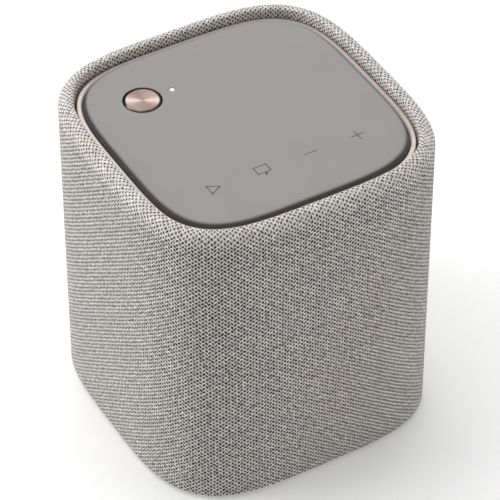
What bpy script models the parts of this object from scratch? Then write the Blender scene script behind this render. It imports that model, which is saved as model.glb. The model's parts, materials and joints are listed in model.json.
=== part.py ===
"""A small battery cube speaker: a knitted sleeve over a slotted cabinet, a sunk top panel with one metal
button and four membrane keys, a full-range driver in front and a passive radiator behind.

Units are metres. The origin is on the floor under the middle of the body, +Z is up and the front is -Y.
"""

import math

import bmesh
import bpy
from mathutils import Matrix, Vector

MM = 0.001

# Body: a square plan with soft corners
BODY_WIDTH = 92.0 * MM
SLEEVE_HEIGHT = 99.5 * MM
BODY_EXPONENT = 3.72  # roundness of the plan: 2 is a circle, large is a square
OUTLINE_STEPS = 44
ROUND_STEPS = 20
HOLE_STEPS = 8
KEY_STEPS = 16
DRIVER_STEPS = 28
FOOT_HEIGHT = 0.8 * MM  # what the rubber foot lifts the sleeve by
CLEARANCE = 0.25 * MM  # between pieces that touch
SCREW_CLEARANCE = 0.25 * MM
THROUGH = 1.0 * MM  # how far a cutter runs past what it cuts
HALF = BODY_WIDTH / 2
CREST = FOOT_HEIGHT + SLEEVE_HEIGHT

# Sleeve
SLEEVE_WALL = 1.0 * MM
SLEEVE_TOP_ROLL = 3.55 * MM
SLEEVE_INNER_ROLL = 0.84 * MM
SLEEVE_BOTTOM_ROLL = 1.05 * MM
SLEEVE_HEM = 5.0 * MM  # how far the hem turns under the body
LIP_SLOPE = 0.31 * MM
LIP_SLOPE_DEPTH = 3.3 * MM
LIP_DEPTH = 6.0 * MM

# Cabinet shell
SHELL_WALL = 1.9 * MM
SLOT_COUNT = 7
SLOT_WIDTH = 4.0 * MM
SLOT_PITCH = 7.4 * MM
SLOT_HEIGHT = 52.0 * MM

# Base
BASE_FLOOR_TOP = 4.6 * MM
BASE_FLOOR_RISE = 0.2 * MM  # the floor's underside above the sleeve's hem
BASE_RIM_HEIGHT = 1.2 * MM
BASE_RIM_WALL = 2.0 * MM
FOOT_RECESS_INSET = 9.0 * MM
FOOT_RECESS_TOP = 2.2 * MM
FOOT_ROUND = 0.4 * MM
BASE_SCREW_SPAN = HALF - 18.0 * MM
BOARD_POST_RADIUS = 2.0 * MM
BOARD_POST_X = HALF - 26.0 * MM
BOARD_POST_Y = HALF - 24.0 * MM

# Inner enclosure
ENCLOSURE_HALF = HALF - 9.7 * MM
ENCLOSURE_CORNER = HALF / 2 - 17.0 * MM
ENCLOSURE_WALL = 2.0 * MM
ENCLOSURE_BOTTOM = BASE_FLOOR_TOP + 11.4 * MM
ENCLOSURE_TOP = CREST - 19.7 * MM
ENCLOSURE_HALF_HEIGHT = (ENCLOSURE_TOP - ENCLOSURE_BOTTOM) / 2
ENCLOSURE_MIDDLE = ENCLOSURE_BOTTOM + ENCLOSURE_HALF_HEIGHT
GASKET_THICKNESS = 0.6 * MM
GASKET_INSET = 0.3 * MM
LID_THICKNESS = 2.0 * MM
BASE_BOSS_RADIUS = 3.6 * MM
LID_BOSS_RADIUS = 5.0 * MM
LID_BOSS_LENGTH = 14.0 * MM
LID_SCREW_SPAN = ENCLOSURE_HALF - 0.3 * ENCLOSURE_CORNER - 4.2 * MM
BOARD_PILLAR_SPAN = HALF - 24.0 * MM
BOARD_PILLAR_RADIUS = 2.5 * MM

# Screws
SCREW_RADIUS = 1.25 * MM
SCREW_HEAD_RADIUS = 2.7 * MM
SCREW_HEAD_HEIGHT = 1.0 * MM
SCREW_HEAD_EDGE = 0.6  # share of the head's height that its rim takes
SCREW_HEAD_CROWN = 0.75  # radius of the head's flat, as a share of its rim's
SCREW_TIP = 0.6  # radius of the tip, as a share of the shank's
BASE_SCREW_LENGTH = 9.0 * MM
LID_SCREW_LENGTH = 9.0 * MM
DRIVER_SCREW_LENGTH = 5.0 * MM

# Top assembly, measured down from the sleeve's crest
PANEL_DROP = 1.5 * MM
RING_DROP = 2.875 * MM
PANEL_EXPONENT = 4.08
RING_OUTER_INSET = 5.33 * MM
RING_INNER_HALF = HALF - 6.53 * MM
RING_HEIGHT = 1.4 * MM
RING_CHAMFER = 0.4 * MM
PANEL_EDGE_RADIUS = 1.4 * MM
PANEL_THICKNESS = 1.6 * MM
PANEL_SKIRT = 2.8 * MM
PANEL_SKIRT_WALL = 1.9 * MM
CARRIER_THICKNESS = 2.35 * MM
CARRIER_FLANGE_HEIGHT = 2.0 * MM
CARRIER_SKIRT_WALL = 4.0 * MM

# Controls: x, y from the body's middle
BUTTON_PLACE = (24.9 * MM - HALF, HALF - 24.7 * MM)
BUTTON_RADIUS = 5.22 * MM
BUTTON_GAP = 0.53 * MM
BUTTON_PROUD = 0.3 * MM
BUTTON_THICKNESS = 2.0 * MM
BUTTON_BEVEL = 0.45 * MM
BUTTON_DISH = 0.12 * MM
BUTTON_TRAVEL = 0.35 * MM
BUTTON_FLANGE_RADIUS = 6.6 * MM
BUTTON_FLANGE_HEIGHT = 1.0 * MM
BUTTON_COLUMN_RADIUS = 4.4 * MM
BUTTON_NOSE_RADIUS = 2.0 * MM
BUTTON_NOSE_LENGTH = 0.5 * MM
LIGHT_PLACE = (BUTTON_PLACE[0] + 9.55 * MM, BUTTON_PLACE[1])
LIGHT_RADIUS = 0.85 * MM
LIGHT_GAP = 0.25 * MM
LIGHT_SINK = 0.05 * MM  # the light pipe's face below the panel's
KEY_ROW_Y = 23.9 * MM - HALF
KEY_PITCH = (BODY_WIDTH - 46.4 * MM) / 3
KEY_ROW_MIDDLE = 0.45 * MM
KEY_NAMES = ("play", "voice", "volume_down", "volume_up")
KEY_TRAVEL = 0.25 * MM
KEY_DISC_RADIUS = 3.0 * MM
KEY_DISC_HEIGHT = 1.6 * MM
KEY_NOSE_RADIUS = 1.0 * MM
KEY_HOLE_GAP = 0.3 * MM

# Control board and its switches
CONTROL_BOARD_HALF = HALF - 13.0 * MM
CONTROL_BOARD_CORNER = 10.0 * MM
BOARD_THICKNESS = 1.2 * MM
PILLAR_HEIGHT = 5.0 * MM
POWER_SWITCH_SIDE = 6.2 * MM
POWER_SWITCH_HEIGHT = 2.0 * MM
POWER_SWITCH_STEM_RADIUS = 1.6 * MM
SWITCH_FLOOR = 0.3 * MM
KEY_SWITCH_SIDE = 4.6 * MM
KEY_SWITCH_HEIGHT = 1.25 * MM
KEY_SWITCH_RECESS_RADIUS = 1.5 * MM
KEY_SWITCH_RECESS_DEPTH = 0.85 * MM
LED_SIZE = (1.6 * MM, 0.8 * MM, 0.6 * MM)
MICROPHONE_SIZE = (3.5 * MM, 2.7 * MM, 1.0 * MM)

# Driver: radii, and depths measured back from the front of its flange, which fills the front wall
DRIVER_HEIGHT = ENCLOSURE_MIDDLE + 1.2 * MM
DRIVER_FLANGE_HALF = min(ENCLOSURE_HALF - 7.3 * MM, ENCLOSURE_HALF_HEIGHT - 3.3 * MM)
DRIVER_UNIT = DRIVER_FLANGE_HALF / 29  # a millimetre on a driver with a 58 mm flange
DRIVER_FLANGE_CORNER = 6.0 * DRIVER_UNIT
DRIVER_FLANGE_THICKNESS = 1.6 * MM
DRIVER_SCREW_SPAN = 24.5 * DRIVER_UNIT
BASKET_RADIUS = 24.6 * DRIVER_UNIT
BASKET_NECK_RADIUS = 17.0 * DRIVER_UNIT
BASKET_DEPTH = 17.0 * DRIVER_UNIT
BASKET_WALL = 1.4 * MM
BASKET_SHOULDER = 3.4 * MM  # the straight part behind the flange
BASKET_RIM = 1.0 * MM  # how far the can overlaps the flange plate
BASKET_RIM_SINK = 0.2 * MM
BASKET_SEAT_WALL = 0.8 * MM
BASKET_WINDOW_PAIRS = 2
BASKET_WINDOW_WIDTH = 13.0 * DRIVER_UNIT
BASKET_WINDOW_SHARE = 0.55  # of the taper's depth
SURROUND_OUTER = 23.8 * DRIVER_UNIT
SURROUND_ROLL_OUTER = 22.9 * DRIVER_UNIT
SURROUND_ROLL_INNER = 20.5 * DRIVER_UNIT
SURROUND_INNER = 19.5 * DRIVER_UNIT
SURROUND_THICKNESS = 0.5 * MM
SURROUND_ROLL_RISE = 1.3 * DRIVER_UNIT
CONE_EDGE_RADIUS = 20.4 * DRIVER_UNIT
CONE_NECK_RADIUS = 8.3 * DRIVER_UNIT
CONE_DEPTH = 8.6 * DRIVER_UNIT
CONE_THICKNESS = 0.6 * MM
DUST_CAP_RADIUS = 9.6 * DRIVER_UNIT
DUST_CAP_RISE = 3.0 * DRIVER_UNIT
COIL_INNER = 7.6 * DRIVER_UNIT
COIL_OUTER = 8.2 * DRIVER_UNIT
COIL_LENGTH = 10.0 * DRIVER_UNIT
POLE_RADIUS = 7.0 * DRIVER_UNIT
MAGNET_GAP_RADIUS = 8.9 * DRIVER_UNIT
TOP_PLATE_RADIUS = 16.5 * DRIVER_UNIT
TOP_PLATE_THICKNESS = 3.0 * MM
MAGNET_RADIUS = 17.5 * DRIVER_UNIT
MAGNET_HOLE_RADIUS = 10.5 * DRIVER_UNIT
MAGNET_THICKNESS = 5.5 * MM
YOKE_THICKNESS = 3.0 * MM
SPIDER_OUTER = 15.9 * DRIVER_UNIT
SPIDER_THICKNESS = 0.4 * MM
SPIDER_FROM_FLOOR = 2.2 * DRIVER_UNIT  # its face in front of the basket's floor
SPIDER_WAVES = 2
SPIDER_WAVE_STEPS = 4
SPIDER_WAVE_HEIGHT = 0.45 * MM
DRIVER_GASKET_THICKNESS = 1.0 * MM
DRIVER_GASKET_INSET = 1.0 * MM

# Passive radiator, on the enclosure's back wall
RADIATOR_HEIGHT = ENCLOSURE_MIDDLE + 3.7 * MM
RADIATOR_HALF = (0.81 * ENCLOSURE_HALF, 0.68 * ENCLOSURE_HALF_HEIGHT)
RADIATOR_CORNER = RADIATOR_HALF[1] - 4.0 * MM
RADIATOR_FRAME_WALL = 4.0 * MM
RADIATOR_FRAME_THICKNESS = 1.6 * MM
RADIATOR_ROLL_WIDTH = 4.6 * MM
RADIATOR_ROLL_LAND = 1.2 * MM
RADIATOR_ROLL_RISE = 1.6 * MM
RADIATOR_DIAPHRAGM_THICKNESS = 2.4 * MM
RADIATOR_DIAPHRAGM_CHAMFER = 1.0 * MM

# Battery
CELL_RADIUS = 9.15 * MM
CELL_LENGTH = 2 * ENCLOSURE_HALF - 7.6 * MM
CELL_PITCH = 2 * CELL_RADIUS + 0.9 * MM
CELL_DEPTH_PLACE = 8.0 * MM  # the cells' axis behind the body's middle
CELL_TERMINAL_RADIUS = 2.8 * MM
CELL_TERMINAL_HEIGHT = 0.9 * MM
CELL_CHAMFER = 0.5 * MM
HOLDER_FROM_AXIS = 2.0 * MM
HOLDER_THICKNESS = CELL_RADIUS + 0.85 * MM
HOLDER_WIDTH = CELL_LENGTH - 15.0 * MM

# Main board and charging inlet
MAIN_BOARD_HALF = (HALF - 23.0 * MM, HALF - 13.0 * MM)
MAIN_BOARD_SHIFT = 3.0 * MM
BOARD_POST_HEIGHT = 3.6 * MM
MAIN_BOARD_THICKNESS = 1.6 * MM
MAIN_BOARD_CORNER = 2.0 * MM
SHIELD_SIZE = (20.0 * MM, 16.0 * MM, 2.4 * MM)
SHIELD_PLACE = (-0.3, -0.2)  # as shares of the board's half sides
CAPACITOR_RADIUS = 3.15 * MM
CAPACITOR_HEIGHT = 5.4 * MM
CAPACITOR_CHAMFER = 0.4 * MM
CAPACITOR_PLACE = (0.55, 0.3)  # as shares of the board's half sides
USB_SHELL = (8.94 * MM, 7.6 * MM, 3.26 * MM)
USB_SHELL_WALL = 0.3 * MM
USB_TONGUE = (6.7 * MM, 5.0 * MM, 0.7 * MM)
USB_SHELL_BACK = 1.0 * MM
USB_FROM_EDGE = 0.3 * MM
ROUND_END_FLAT = 0.1 * MM  # what stays straight on a fully rounded end
BEZEL_OPENING = (13.4 * MM, 7.4 * MM)
BEZEL_WALL = 1.6 * MM
BEZEL_CORNER = 2.4 * MM
BEZEL_RECESS = 4.35 * MM
BEZEL_BACK = 1.2 * MM
BEZEL_SINK = 0.1 * MM  # the bezel's face below the sleeve's surface
BEZEL_SLOT_GAP = 0.25 * MM

# Finishes: colour, roughness, metalness
FINISHES = {
    "knit_fabric": ((0.42, 0.4, 0.385), 0.95, 0),
    "soft_skin": ((0.35, 0.34, 0.335), 0.6, 0),
    "pink_gold": ((0.7, 0.58, 0.53), 0.25, 1),
    "clear_plastic": ((0.95, 0.95, 1), 0.2, 0),
    "lamp_white": ((0.9, 0.9, 0.95), 0.3, 0),
    "carrier_plastic": ((0.045, 0.045, 0.045), 0.6, 0),
    "cabinet_plastic": ((0.09, 0.088, 0.085), 0.6, 0),
    "base_plastic": ((0.1, 0.098, 0.095), 0.55, 0),
    "foot_rubber": ((0.05, 0.05, 0.05), 0.85, 0),
    "bezel_plastic": ((0.12, 0.118, 0.115), 0.5, 0),
    "enclosure_plastic": ((0.06, 0.06, 0.062), 0.55, 0),
    "seal_rubber": ((0.03, 0.03, 0.03), 0.9, 0),
    "foam": ((0.05, 0.05, 0.052), 0.95, 0),
    "screw_steel": ((0.28, 0.28, 0.29), 0.35, 1),
    "basket_steel": ((0.07, 0.07, 0.072), 0.45, 0.6),
    "motor_steel": ((0.45, 0.45, 0.46), 0.35, 1),
    "magnet_finish": ((0.06, 0.06, 0.065), 0.6, 0),
    "cone_paper": ((0.035, 0.035, 0.036), 0.8, 0),
    "copper": ((0.72, 0.38, 0.24), 0.35, 1),
    "spider_cloth": ((0.62, 0.47, 0.22), 0.9, 0),
    "diaphragm_metal": ((0.5, 0.5, 0.51), 0.4, 1),
    "cell_wrap": ((0.05, 0.16, 0.34), 0.4, 0),
    "holder_plastic": ((0.12, 0.12, 0.12), 0.6, 0),
    "circuit_board": ((0.02, 0.1, 0.05), 0.45, 0),
    "tinned_steel": ((0.6, 0.6, 0.6), 0.3, 1),
    "switch_plastic": ((0.03, 0.03, 0.03), 0.5, 0),
    "switch_steel": ((0.6, 0.6, 0.58), 0.35, 1),
    "key_rubber": ((0.16, 0.16, 0.16), 0.7, 0),
}

# Heights and insets worked out from the above
HEM_TOP = FOOT_HEIGHT + SLEEVE_WALL
SHELL_INSET = SLEEVE_WALL + CLEARANCE
SHELL_INNER_INSET = SHELL_INSET + SHELL_WALL
LIP_INSET = SLEEVE_TOP_ROLL + SLEEVE_INNER_ROLL + LIP_SLOPE
PANEL_TOP = CREST - PANEL_DROP
PANEL_UNDERSIDE = PANEL_TOP - PANEL_THICKNESS
RING_TOP = CREST - RING_DROP
RING_BOTTOM = RING_TOP - RING_HEIGHT
PANEL_HALF = RING_INNER_HALF - CLEARANCE
CARRIER_TOP = PANEL_UNDERSIDE - CLEARANCE
CARRIER_UNDERSIDE = CARRIER_TOP - CARRIER_THICKNESS
LID_BOTTOM = ENCLOSURE_TOP + GASKET_THICKNESS + 2 * CLEARANCE
LID_TOP = LID_BOTTOM + LID_THICKNESS
CONTROL_BOARD_BOTTOM = LID_TOP + PILLAR_HEIGHT + CLEARANCE
CONTROL_BOARD_TOP = CONTROL_BOARD_BOTTOM + BOARD_THICKNESS
MAIN_BOARD_BOTTOM = BASE_FLOOR_TOP + BOARD_POST_HEIGHT + CLEARANCE
MAIN_BOARD_TOP = MAIN_BOARD_BOTTOM + MAIN_BOARD_THICKNESS
DRIVER_FRONT = -(ENCLOSURE_HALF + CLEARANCE + DRIVER_FLANGE_THICKNESS)
USB_HEIGHT = MAIN_BOARD_TOP + CLEARANCE + USB_SHELL[2] / 2
DRIVER_PLACE = (0, DRIVER_FRONT, DRIVER_HEIGHT)


def clear_scene():
    for obj in list(bpy.data.objects):
        bpy.data.objects.remove(obj)


def material(name):
    made = bpy.data.materials.get(name) or bpy.data.materials.new(name)
    made.use_nodes = True
    shader = made.node_tree.nodes["Principled BSDF"]
    colour, roughness, metallic = FINISHES[name]
    shader.inputs["Base Color"].default_value = (*colour, 1.0)
    shader.inputs["Roughness"].default_value = roughness
    shader.inputs["Metallic"].default_value = metallic
    return made


def object_from(name, bm, finish=None, sharp_degrees=35):
    """Puts a bmesh in the scene as one object with its faces turned outward."""
    bmesh.ops.remove_doubles(bm, verts=bm.verts, dist=1e-7)
    bmesh.ops.recalc_face_normals(bm, faces=bm.faces)
    mesh = bpy.data.meshes.new(name)
    bm.to_mesh(mesh)
    bm.free()
    mesh.shade_smooth()
    mesh.set_sharp_from_angle(angle=math.radians(sharp_degrees))
    obj = bpy.data.objects.new(name, mesh)
    bpy.context.scene.collection.objects.link(obj)
    if finish:
        mesh.materials.append(finish)
    return obj


def cut(obj, cutter):
    """Takes the cutter's shape out of obj. The cutter stays as a hidden wire guide."""
    combine(obj, cutter, "DIFFERENCE")


def combine(obj, other, operation="UNION"):
    other.hide_render = True
    other.display_type = "WIRE"
    modifier = obj.modifiers.new(other.name, "BOOLEAN")
    modifier.operation = operation
    modifier.solver = "EXACT"
    modifier.object = other


# Outlines, as (x, y) points anticlockwise


def superellipse(half, exponent, inset=0.0):
    """A square with soft corners, drawn inward by inset along its own normals."""
    points = []
    for step in range(OUTLINE_STEPS):
        angle = 2 * math.pi * step / OUTLINE_STEPS
        c, s = math.cos(angle), math.sin(angle)
        reach = half / (abs(c) ** exponent + abs(s) ** exponent) ** (1 / exponent)
        normal = Vector(
            (math.copysign(abs(c) ** (exponent - 1), c), math.copysign(abs(s) ** (exponent - 1), s))
        ).normalized()
        points.append((reach * c - inset * normal.x, reach * s - inset * normal.y))
    return points


def body_outline(inset):
    return superellipse(HALF, BODY_EXPONENT, inset)


def panel_outline(half):
    return superellipse(half, PANEL_EXPONENT)


def rounded_rectangle(half_x, half_y, corner, corner_steps=4):
    points = []
    for quarter, (sx, sy) in enumerate(((1, 1), (-1, 1), (-1, -1), (1, -1))):
        for step in range(corner_steps + 1):
            angle = math.pi / 2 * (quarter + step / corner_steps)
            points.append(
                (
                    sx * (half_x - corner) + corner * math.cos(angle),
                    sy * (half_y - corner) + corner * math.sin(angle),
                )
            )
    return points


def round_ended(half_x, half_y):
    """A flat oval, such as a connector's mouth."""
    return rounded_rectangle(half_x, half_y, half_y - ROUND_END_FLAT)


def arc(centre, radius, start_degrees, end_degrees, steps):
    """Points of an arc in a profile, from start to end."""
    for step in range(steps + 1):
        angle = math.radians(start_degrees + (end_degrees - start_degrees) * step / steps)
        yield (centre[0] + radius * math.cos(angle), centre[1] + radius * math.sin(angle))


# Solids


def loft(name, rows, finish, closed=False, sharp_degrees=35):
    """Skins rows of (outline, height). A closed loft is a ring: its last row meets its first."""
    bm = bmesh.new()
    rings = [[bm.verts.new((x, y, height)) for x, y in outline] for outline, height in rows]
    for lower, upper in zip(rings, rings[1:] + rings[:1] if closed else rings[1:]):
        for i in range(len(lower)):
            bm.faces.new((lower[i - 1], lower[i], upper[i], upper[i - 1]))
    if not closed:
        bm.faces.new(rings[0])
        bm.faces.new(rings[-1])
    return object_from(name, bm, finish, sharp_degrees)


def body_loft(name, profile, finish, closed=False):
    """Carries a profile of (inset, height) round the body's plan."""
    return loft(name, [(body_outline(inset), height) for inset, height in profile], finish, closed)


def slab(name, outline, bottom, top, finish=None):
    return loft(name, [(outline, bottom), (outline, top)], finish)


def block(name, size, centre, finish=None):
    """A box of the given size about its centre."""
    bm = bmesh.new()
    bmesh.ops.create_cube(bm, size=1.0, matrix=Matrix.Translation(centre) @ Matrix.Diagonal((*size, 1)))
    return object_from(name, bm, finish)


def turned(name, profile, finish, place, axis="Z", steps=ROUND_STEPS, sharp_degrees=35):
    """Spins a profile of (radius, distance along the axis). A profile that starts and ends at radius 0 is
    solid, any other is closed into a ring."""
    bm = bmesh.new()
    verts = [bm.verts.new((radius, 0, along)) for radius, along in profile]
    edges = [bm.edges.new(pair) for pair in zip(verts, verts[1:])]
    if profile[0][0] > 0:
        edges.append(bm.edges.new((verts[-1], verts[0])))
    bmesh.ops.spin(
        bm,
        geom=verts + edges,
        cent=(0, 0, 0),
        axis=(0, 0, 1),
        angle=2 * math.pi,
        steps=steps,
        use_merge=True,
    )
    if axis == "Y":
        bmesh.ops.rotate(bm, verts=bm.verts, matrix=Matrix.Rotation(-math.pi / 2, 3, "X"))
    if axis == "X":
        bmesh.ops.rotate(bm, verts=bm.verts, matrix=Matrix.Rotation(math.pi / 2, 3, "Y"))
    obj = object_from(name, bm, finish, sharp_degrees)
    obj.location = place
    return obj


def rod(name, radius, bottom, top, place, finish=None, axis="Z", steps=ROUND_STEPS):
    """A plain cylinder from bottom to top along its axis."""
    profile = [(0, bottom), (radius, bottom), (radius, top), (0, top)]
    return turned(name, profile, finish, place, axis, steps)


def peg(name, radius, bottom, top, place, axis="Z"):
    """A small rod, such as a screw's hole or boss, with few sides."""
    return rod(name, radius, bottom, top, place, axis=axis, steps=HOLE_STEPS)


def stand_up(obj, y):
    """Turns a piece drawn flat so that its plan faces backward, its heights run along +Y from y."""
    obj.rotation_euler = (-math.pi / 2, 0, 0)
    obj.location = (0, y, obj.location.z)


def corner_names():
    """The four corners of a square, as (name, sign of x, sign of y)."""
    return (("front_left", -1, -1), ("front_right", 1, -1), ("back_right", 1, 1), ("back_left", -1, 1))


def screw(name, place, direction, length):
    """A pan-head screw. Its shank points along direction from place, the head's underside."""
    profile = [
        (0, length),
        (SCREW_RADIUS * SCREW_TIP, length),
        (SCREW_RADIUS, length - SCREW_RADIUS),
        (SCREW_RADIUS, 0),
        (SCREW_HEAD_RADIUS, 0),
        (SCREW_HEAD_RADIUS, -SCREW_HEAD_HEIGHT * SCREW_HEAD_EDGE),
        (SCREW_HEAD_RADIUS * SCREW_HEAD_CROWN, -SCREW_HEAD_HEIGHT),
        (0, -SCREW_HEAD_HEIGHT),
    ]
    obj = turned(name, profile, material("screw_steel"), place, steps=HOLE_STEPS)
    obj.rotation_mode = "QUATERNION"
    obj.rotation_quaternion = Vector((0, 0, 1)).rotation_difference(Vector(direction))
    return obj


# Outside


def make_fabric_sleeve():
    top_centre = (SLEEVE_TOP_ROLL, CREST - SLEEVE_TOP_ROLL)
    inner_centre = (SLEEVE_TOP_ROLL, CREST - SLEEVE_INNER_ROLL)
    bottom_centre = (SLEEVE_BOTTOM_ROLL, FOOT_HEIGHT + SLEEVE_BOTTOM_ROLL)
    back_roll = SLEEVE_TOP_ROLL - SLEEVE_WALL
    lip_foot = CREST - LIP_DEPTH
    profile = [(SLEEVE_HEM, FOOT_HEIGHT)]
    profile += arc(bottom_centre, SLEEVE_BOTTOM_ROLL, 270, 180, 1)
    profile += arc(top_centre, SLEEVE_TOP_ROLL, 180, 90, 3)
    profile += list(arc(inner_centre, SLEEVE_INNER_ROLL, 90, 0, 2))[1:]
    profile += [(LIP_INSET, CREST - LIP_SLOPE_DEPTH), (LIP_INSET, lip_foot)]
    profile += [(LIP_INSET - SLEEVE_WALL, lip_foot), (LIP_INSET - SLEEVE_WALL, CREST - LIP_SLOPE_DEPTH)]
    profile += arc(top_centre, back_roll, 90, 180, 3)
    profile += [(SLEEVE_WALL, HEM_TOP), (SLEEVE_HEM, HEM_TOP)]
    finish = material("knit_fabric")
    sleeve = body_loft("fabric_sleeve", profile, finish, closed=True)
    cut(sleeve, port_cutter("sleeve_port_cutter"))


def port_cutter(name):
    """The hole through the sleeve and the shell that the charging inlet's bezel fills."""
    half_x = BEZEL_OPENING[0] / 2 + BEZEL_WALL + CLEARANCE
    half_z = BEZEL_OPENING[1] / 2 + BEZEL_WALL + CLEARANCE
    outline = rounded_rectangle(half_x, half_z, BEZEL_CORNER + CLEARANCE, 3)
    cutter = slab(name, outline, 0, HALF - ENCLOSURE_HALF)
    cutter.location.z = USB_HEIGHT
    stand_up(cutter, ENCLOSURE_HALF + CLEARANCE)
    return cutter


def make_cabinet_shell():
    bottom = HEM_TOP + CLEARANCE
    roll = SLEEVE_TOP_ROLL - SHELL_INSET
    centre = (SLEEVE_TOP_ROLL, CREST - SLEEVE_TOP_ROLL)
    inner_angle = math.degrees(math.acos((SLEEVE_TOP_ROLL - SHELL_INNER_INSET) / roll))
    profile = [(SHELL_INNER_INSET, bottom), (SHELL_INSET, bottom)]
    profile += arc(centre, roll, 180, 180 - inner_angle, 3)
    finish = material("cabinet_plastic")
    shell = body_loft("cabinet_shell", profile, finish, closed=True)
    cut(shell, port_cutter("shell_port_cutter"))
    half_width = SLOT_WIDTH / 2
    for index in range(SLOT_COUNT):
        outline = rounded_rectangle(half_width, SLOT_HEIGHT / 2, half_width, 2)
        cutter = slab(f"slot_cutter_{index}", outline, 0, 2.4 * HALF)
        cutter.location.z = DRIVER_HEIGHT
        stand_up(cutter, -1.2 * HALF)
        cutter.location.x = (index - (SLOT_COUNT - 1) / 2) * SLOT_PITCH
        cut(shell, cutter)


def make_base_plate():
    bottom = FOOT_HEIGHT + BASE_FLOOR_RISE
    pan_inset = SLEEVE_HEM + CLEARANCE
    rim_inset = SHELL_INNER_INSET + CLEARANCE
    flange = HEM_TOP + CLEARANCE
    rim_top = BASE_FLOOR_TOP + BASE_RIM_HEIGHT
    profile = [
        (FOOT_RECESS_INSET, FOOT_RECESS_TOP),
        (FOOT_RECESS_INSET, bottom),
        (pan_inset, bottom),
        (pan_inset, flange),
        (rim_inset, flange),
        (rim_inset, rim_top),
        (rim_inset + BASE_RIM_WALL, rim_top),
        (rim_inset + BASE_RIM_WALL, BASE_FLOOR_TOP),
    ]
    finish = material("base_plastic")
    base = body_loft("base_plate", profile, finish)
    cut(base, port_cutter("base_port_cutter"))
    post_foot = BASE_FLOOR_TOP - CLEARANCE
    post_top = MAIN_BOARD_BOTTOM - CLEARANCE
    head_room = SCREW_HEAD_RADIUS + SCREW_CLEARANCE
    head_top = screw_head_seat() - CLEARANCE
    hole = SCREW_RADIUS + SCREW_CLEARANCE
    for name, sx, sy in corner_names():
        place = (sx * BOARD_POST_X, MAIN_BOARD_SHIFT + sy * BOARD_POST_Y, 0)
        combine(base, peg(f"board_post_{name}", BOARD_POST_RADIUS, post_foot, post_top, place))
        place = (sx * BASE_SCREW_SPAN, sy * BASE_SCREW_SPAN, 0)
        cut(base, peg(f"base_head_cutter_{name}", head_room, -THROUGH, head_top, place))
        cut(base, peg(f"base_hole_cutter_{name}", hole, 0, BASE_FLOOR_TOP + THROUGH, place))


def screw_head_seat():
    """Height of the underside that the base screws' heads press on, with their clearance."""
    return FOOT_RECESS_TOP + SCREW_HEAD_HEIGHT + 2 * CLEARANCE


def make_base_screws():
    for name, sx, sy in corner_names():
        place = (sx * BASE_SCREW_SPAN, sy * BASE_SCREW_SPAN, screw_head_seat() - 2 * CLEARANCE)
        screw(f"base_screw_{name}", place, (0, 0, 1), BASE_SCREW_LENGTH)


def make_rubber_foot():
    inset = FOOT_RECESS_INSET + CLEARANCE
    top = FOOT_RECESS_TOP - CLEARANCE
    profile = [(inset + FOOT_ROUND, 0), (inset, FOOT_ROUND), (inset, top)]
    body_loft("rubber_foot", profile, material("foot_rubber"))


# Inner enclosure


def enclosure_outline(inset=0.0):
    half = ENCLOSURE_HALF - inset
    return rounded_rectangle(half, half, ENCLOSURE_CORNER - inset)


def make_inner_enclosure():
    wall = ENCLOSURE_WALL
    rows = [
        (enclosure_outline(), ENCLOSURE_BOTTOM),
        (enclosure_outline(), ENCLOSURE_TOP),
        (enclosure_outline(wall), ENCLOSURE_TOP),
        (enclosure_outline(wall), ENCLOSURE_BOTTOM + wall),
    ]
    tub = loft("inner_enclosure", rows, material("enclosure_plastic"))
    pilot = SCREW_RADIUS + SCREW_CLEARANCE
    foot_bottom = BASE_FLOOR_TOP + CLEARANCE
    foot_top = ENCLOSURE_BOTTOM + wall / 2
    screw_end = screw_head_seat() + BASE_SCREW_LENGTH
    boss_bottom = ENCLOSURE_TOP - LID_BOSS_LENGTH
    boss_top = ENCLOSURE_TOP - CLEARANCE
    pilot_bottom = LID_TOP - LID_SCREW_LENGTH - CLEARANCE
    for name, sx, sy in corner_names():
        foot = (sx * BASE_SCREW_SPAN, sy * BASE_SCREW_SPAN, 0)
        combine(tub, peg(f"foot_boss_{name}", BASE_BOSS_RADIUS, foot_bottom, foot_top, foot))
        cut(tub, peg(f"foot_pilot_{name}", pilot, 0, screw_end, foot))
        corner = (sx * LID_SCREW_SPAN, sy * LID_SCREW_SPAN, 0)
        combine(tub, peg(f"lid_boss_{name}", LID_BOSS_RADIUS, boss_bottom, boss_top, corner))
        cut(tub, peg(f"lid_pilot_{name}", pilot, pilot_bottom, ENCLOSURE_TOP + THROUGH, corner))
    front, back = -ENCLOSURE_HALF - THROUGH, -ENCLOSURE_HALF + wall + THROUGH
    bore = BASKET_RADIUS + CLEARANCE
    middle = (0, 0, DRIVER_HEIGHT)
    cut(tub, rod("driver_hole_cutter", bore, front, back, middle, axis="Y", steps=DRIVER_STEPS))
    outline = rounded_rectangle(
        RADIATOR_HALF[0] - RADIATOR_FRAME_WALL,
        RADIATOR_HALF[1] - RADIATOR_FRAME_WALL,
        RADIATOR_CORNER - RADIATOR_FRAME_WALL,
    )
    radiator_hole = slab("radiator_hole_cutter", outline, 0, wall + 2 * THROUGH)
    radiator_hole.location.z = RADIATOR_HEIGHT
    stand_up(radiator_hole, ENCLOSURE_HALF - wall - THROUGH)
    cut(tub, radiator_hole)
    for name, x, z in driver_screw_places():
        cut(tub, peg(f"driver_pilot_{name}", pilot, front, back, (x, 0, z), axis="Y"))


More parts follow.
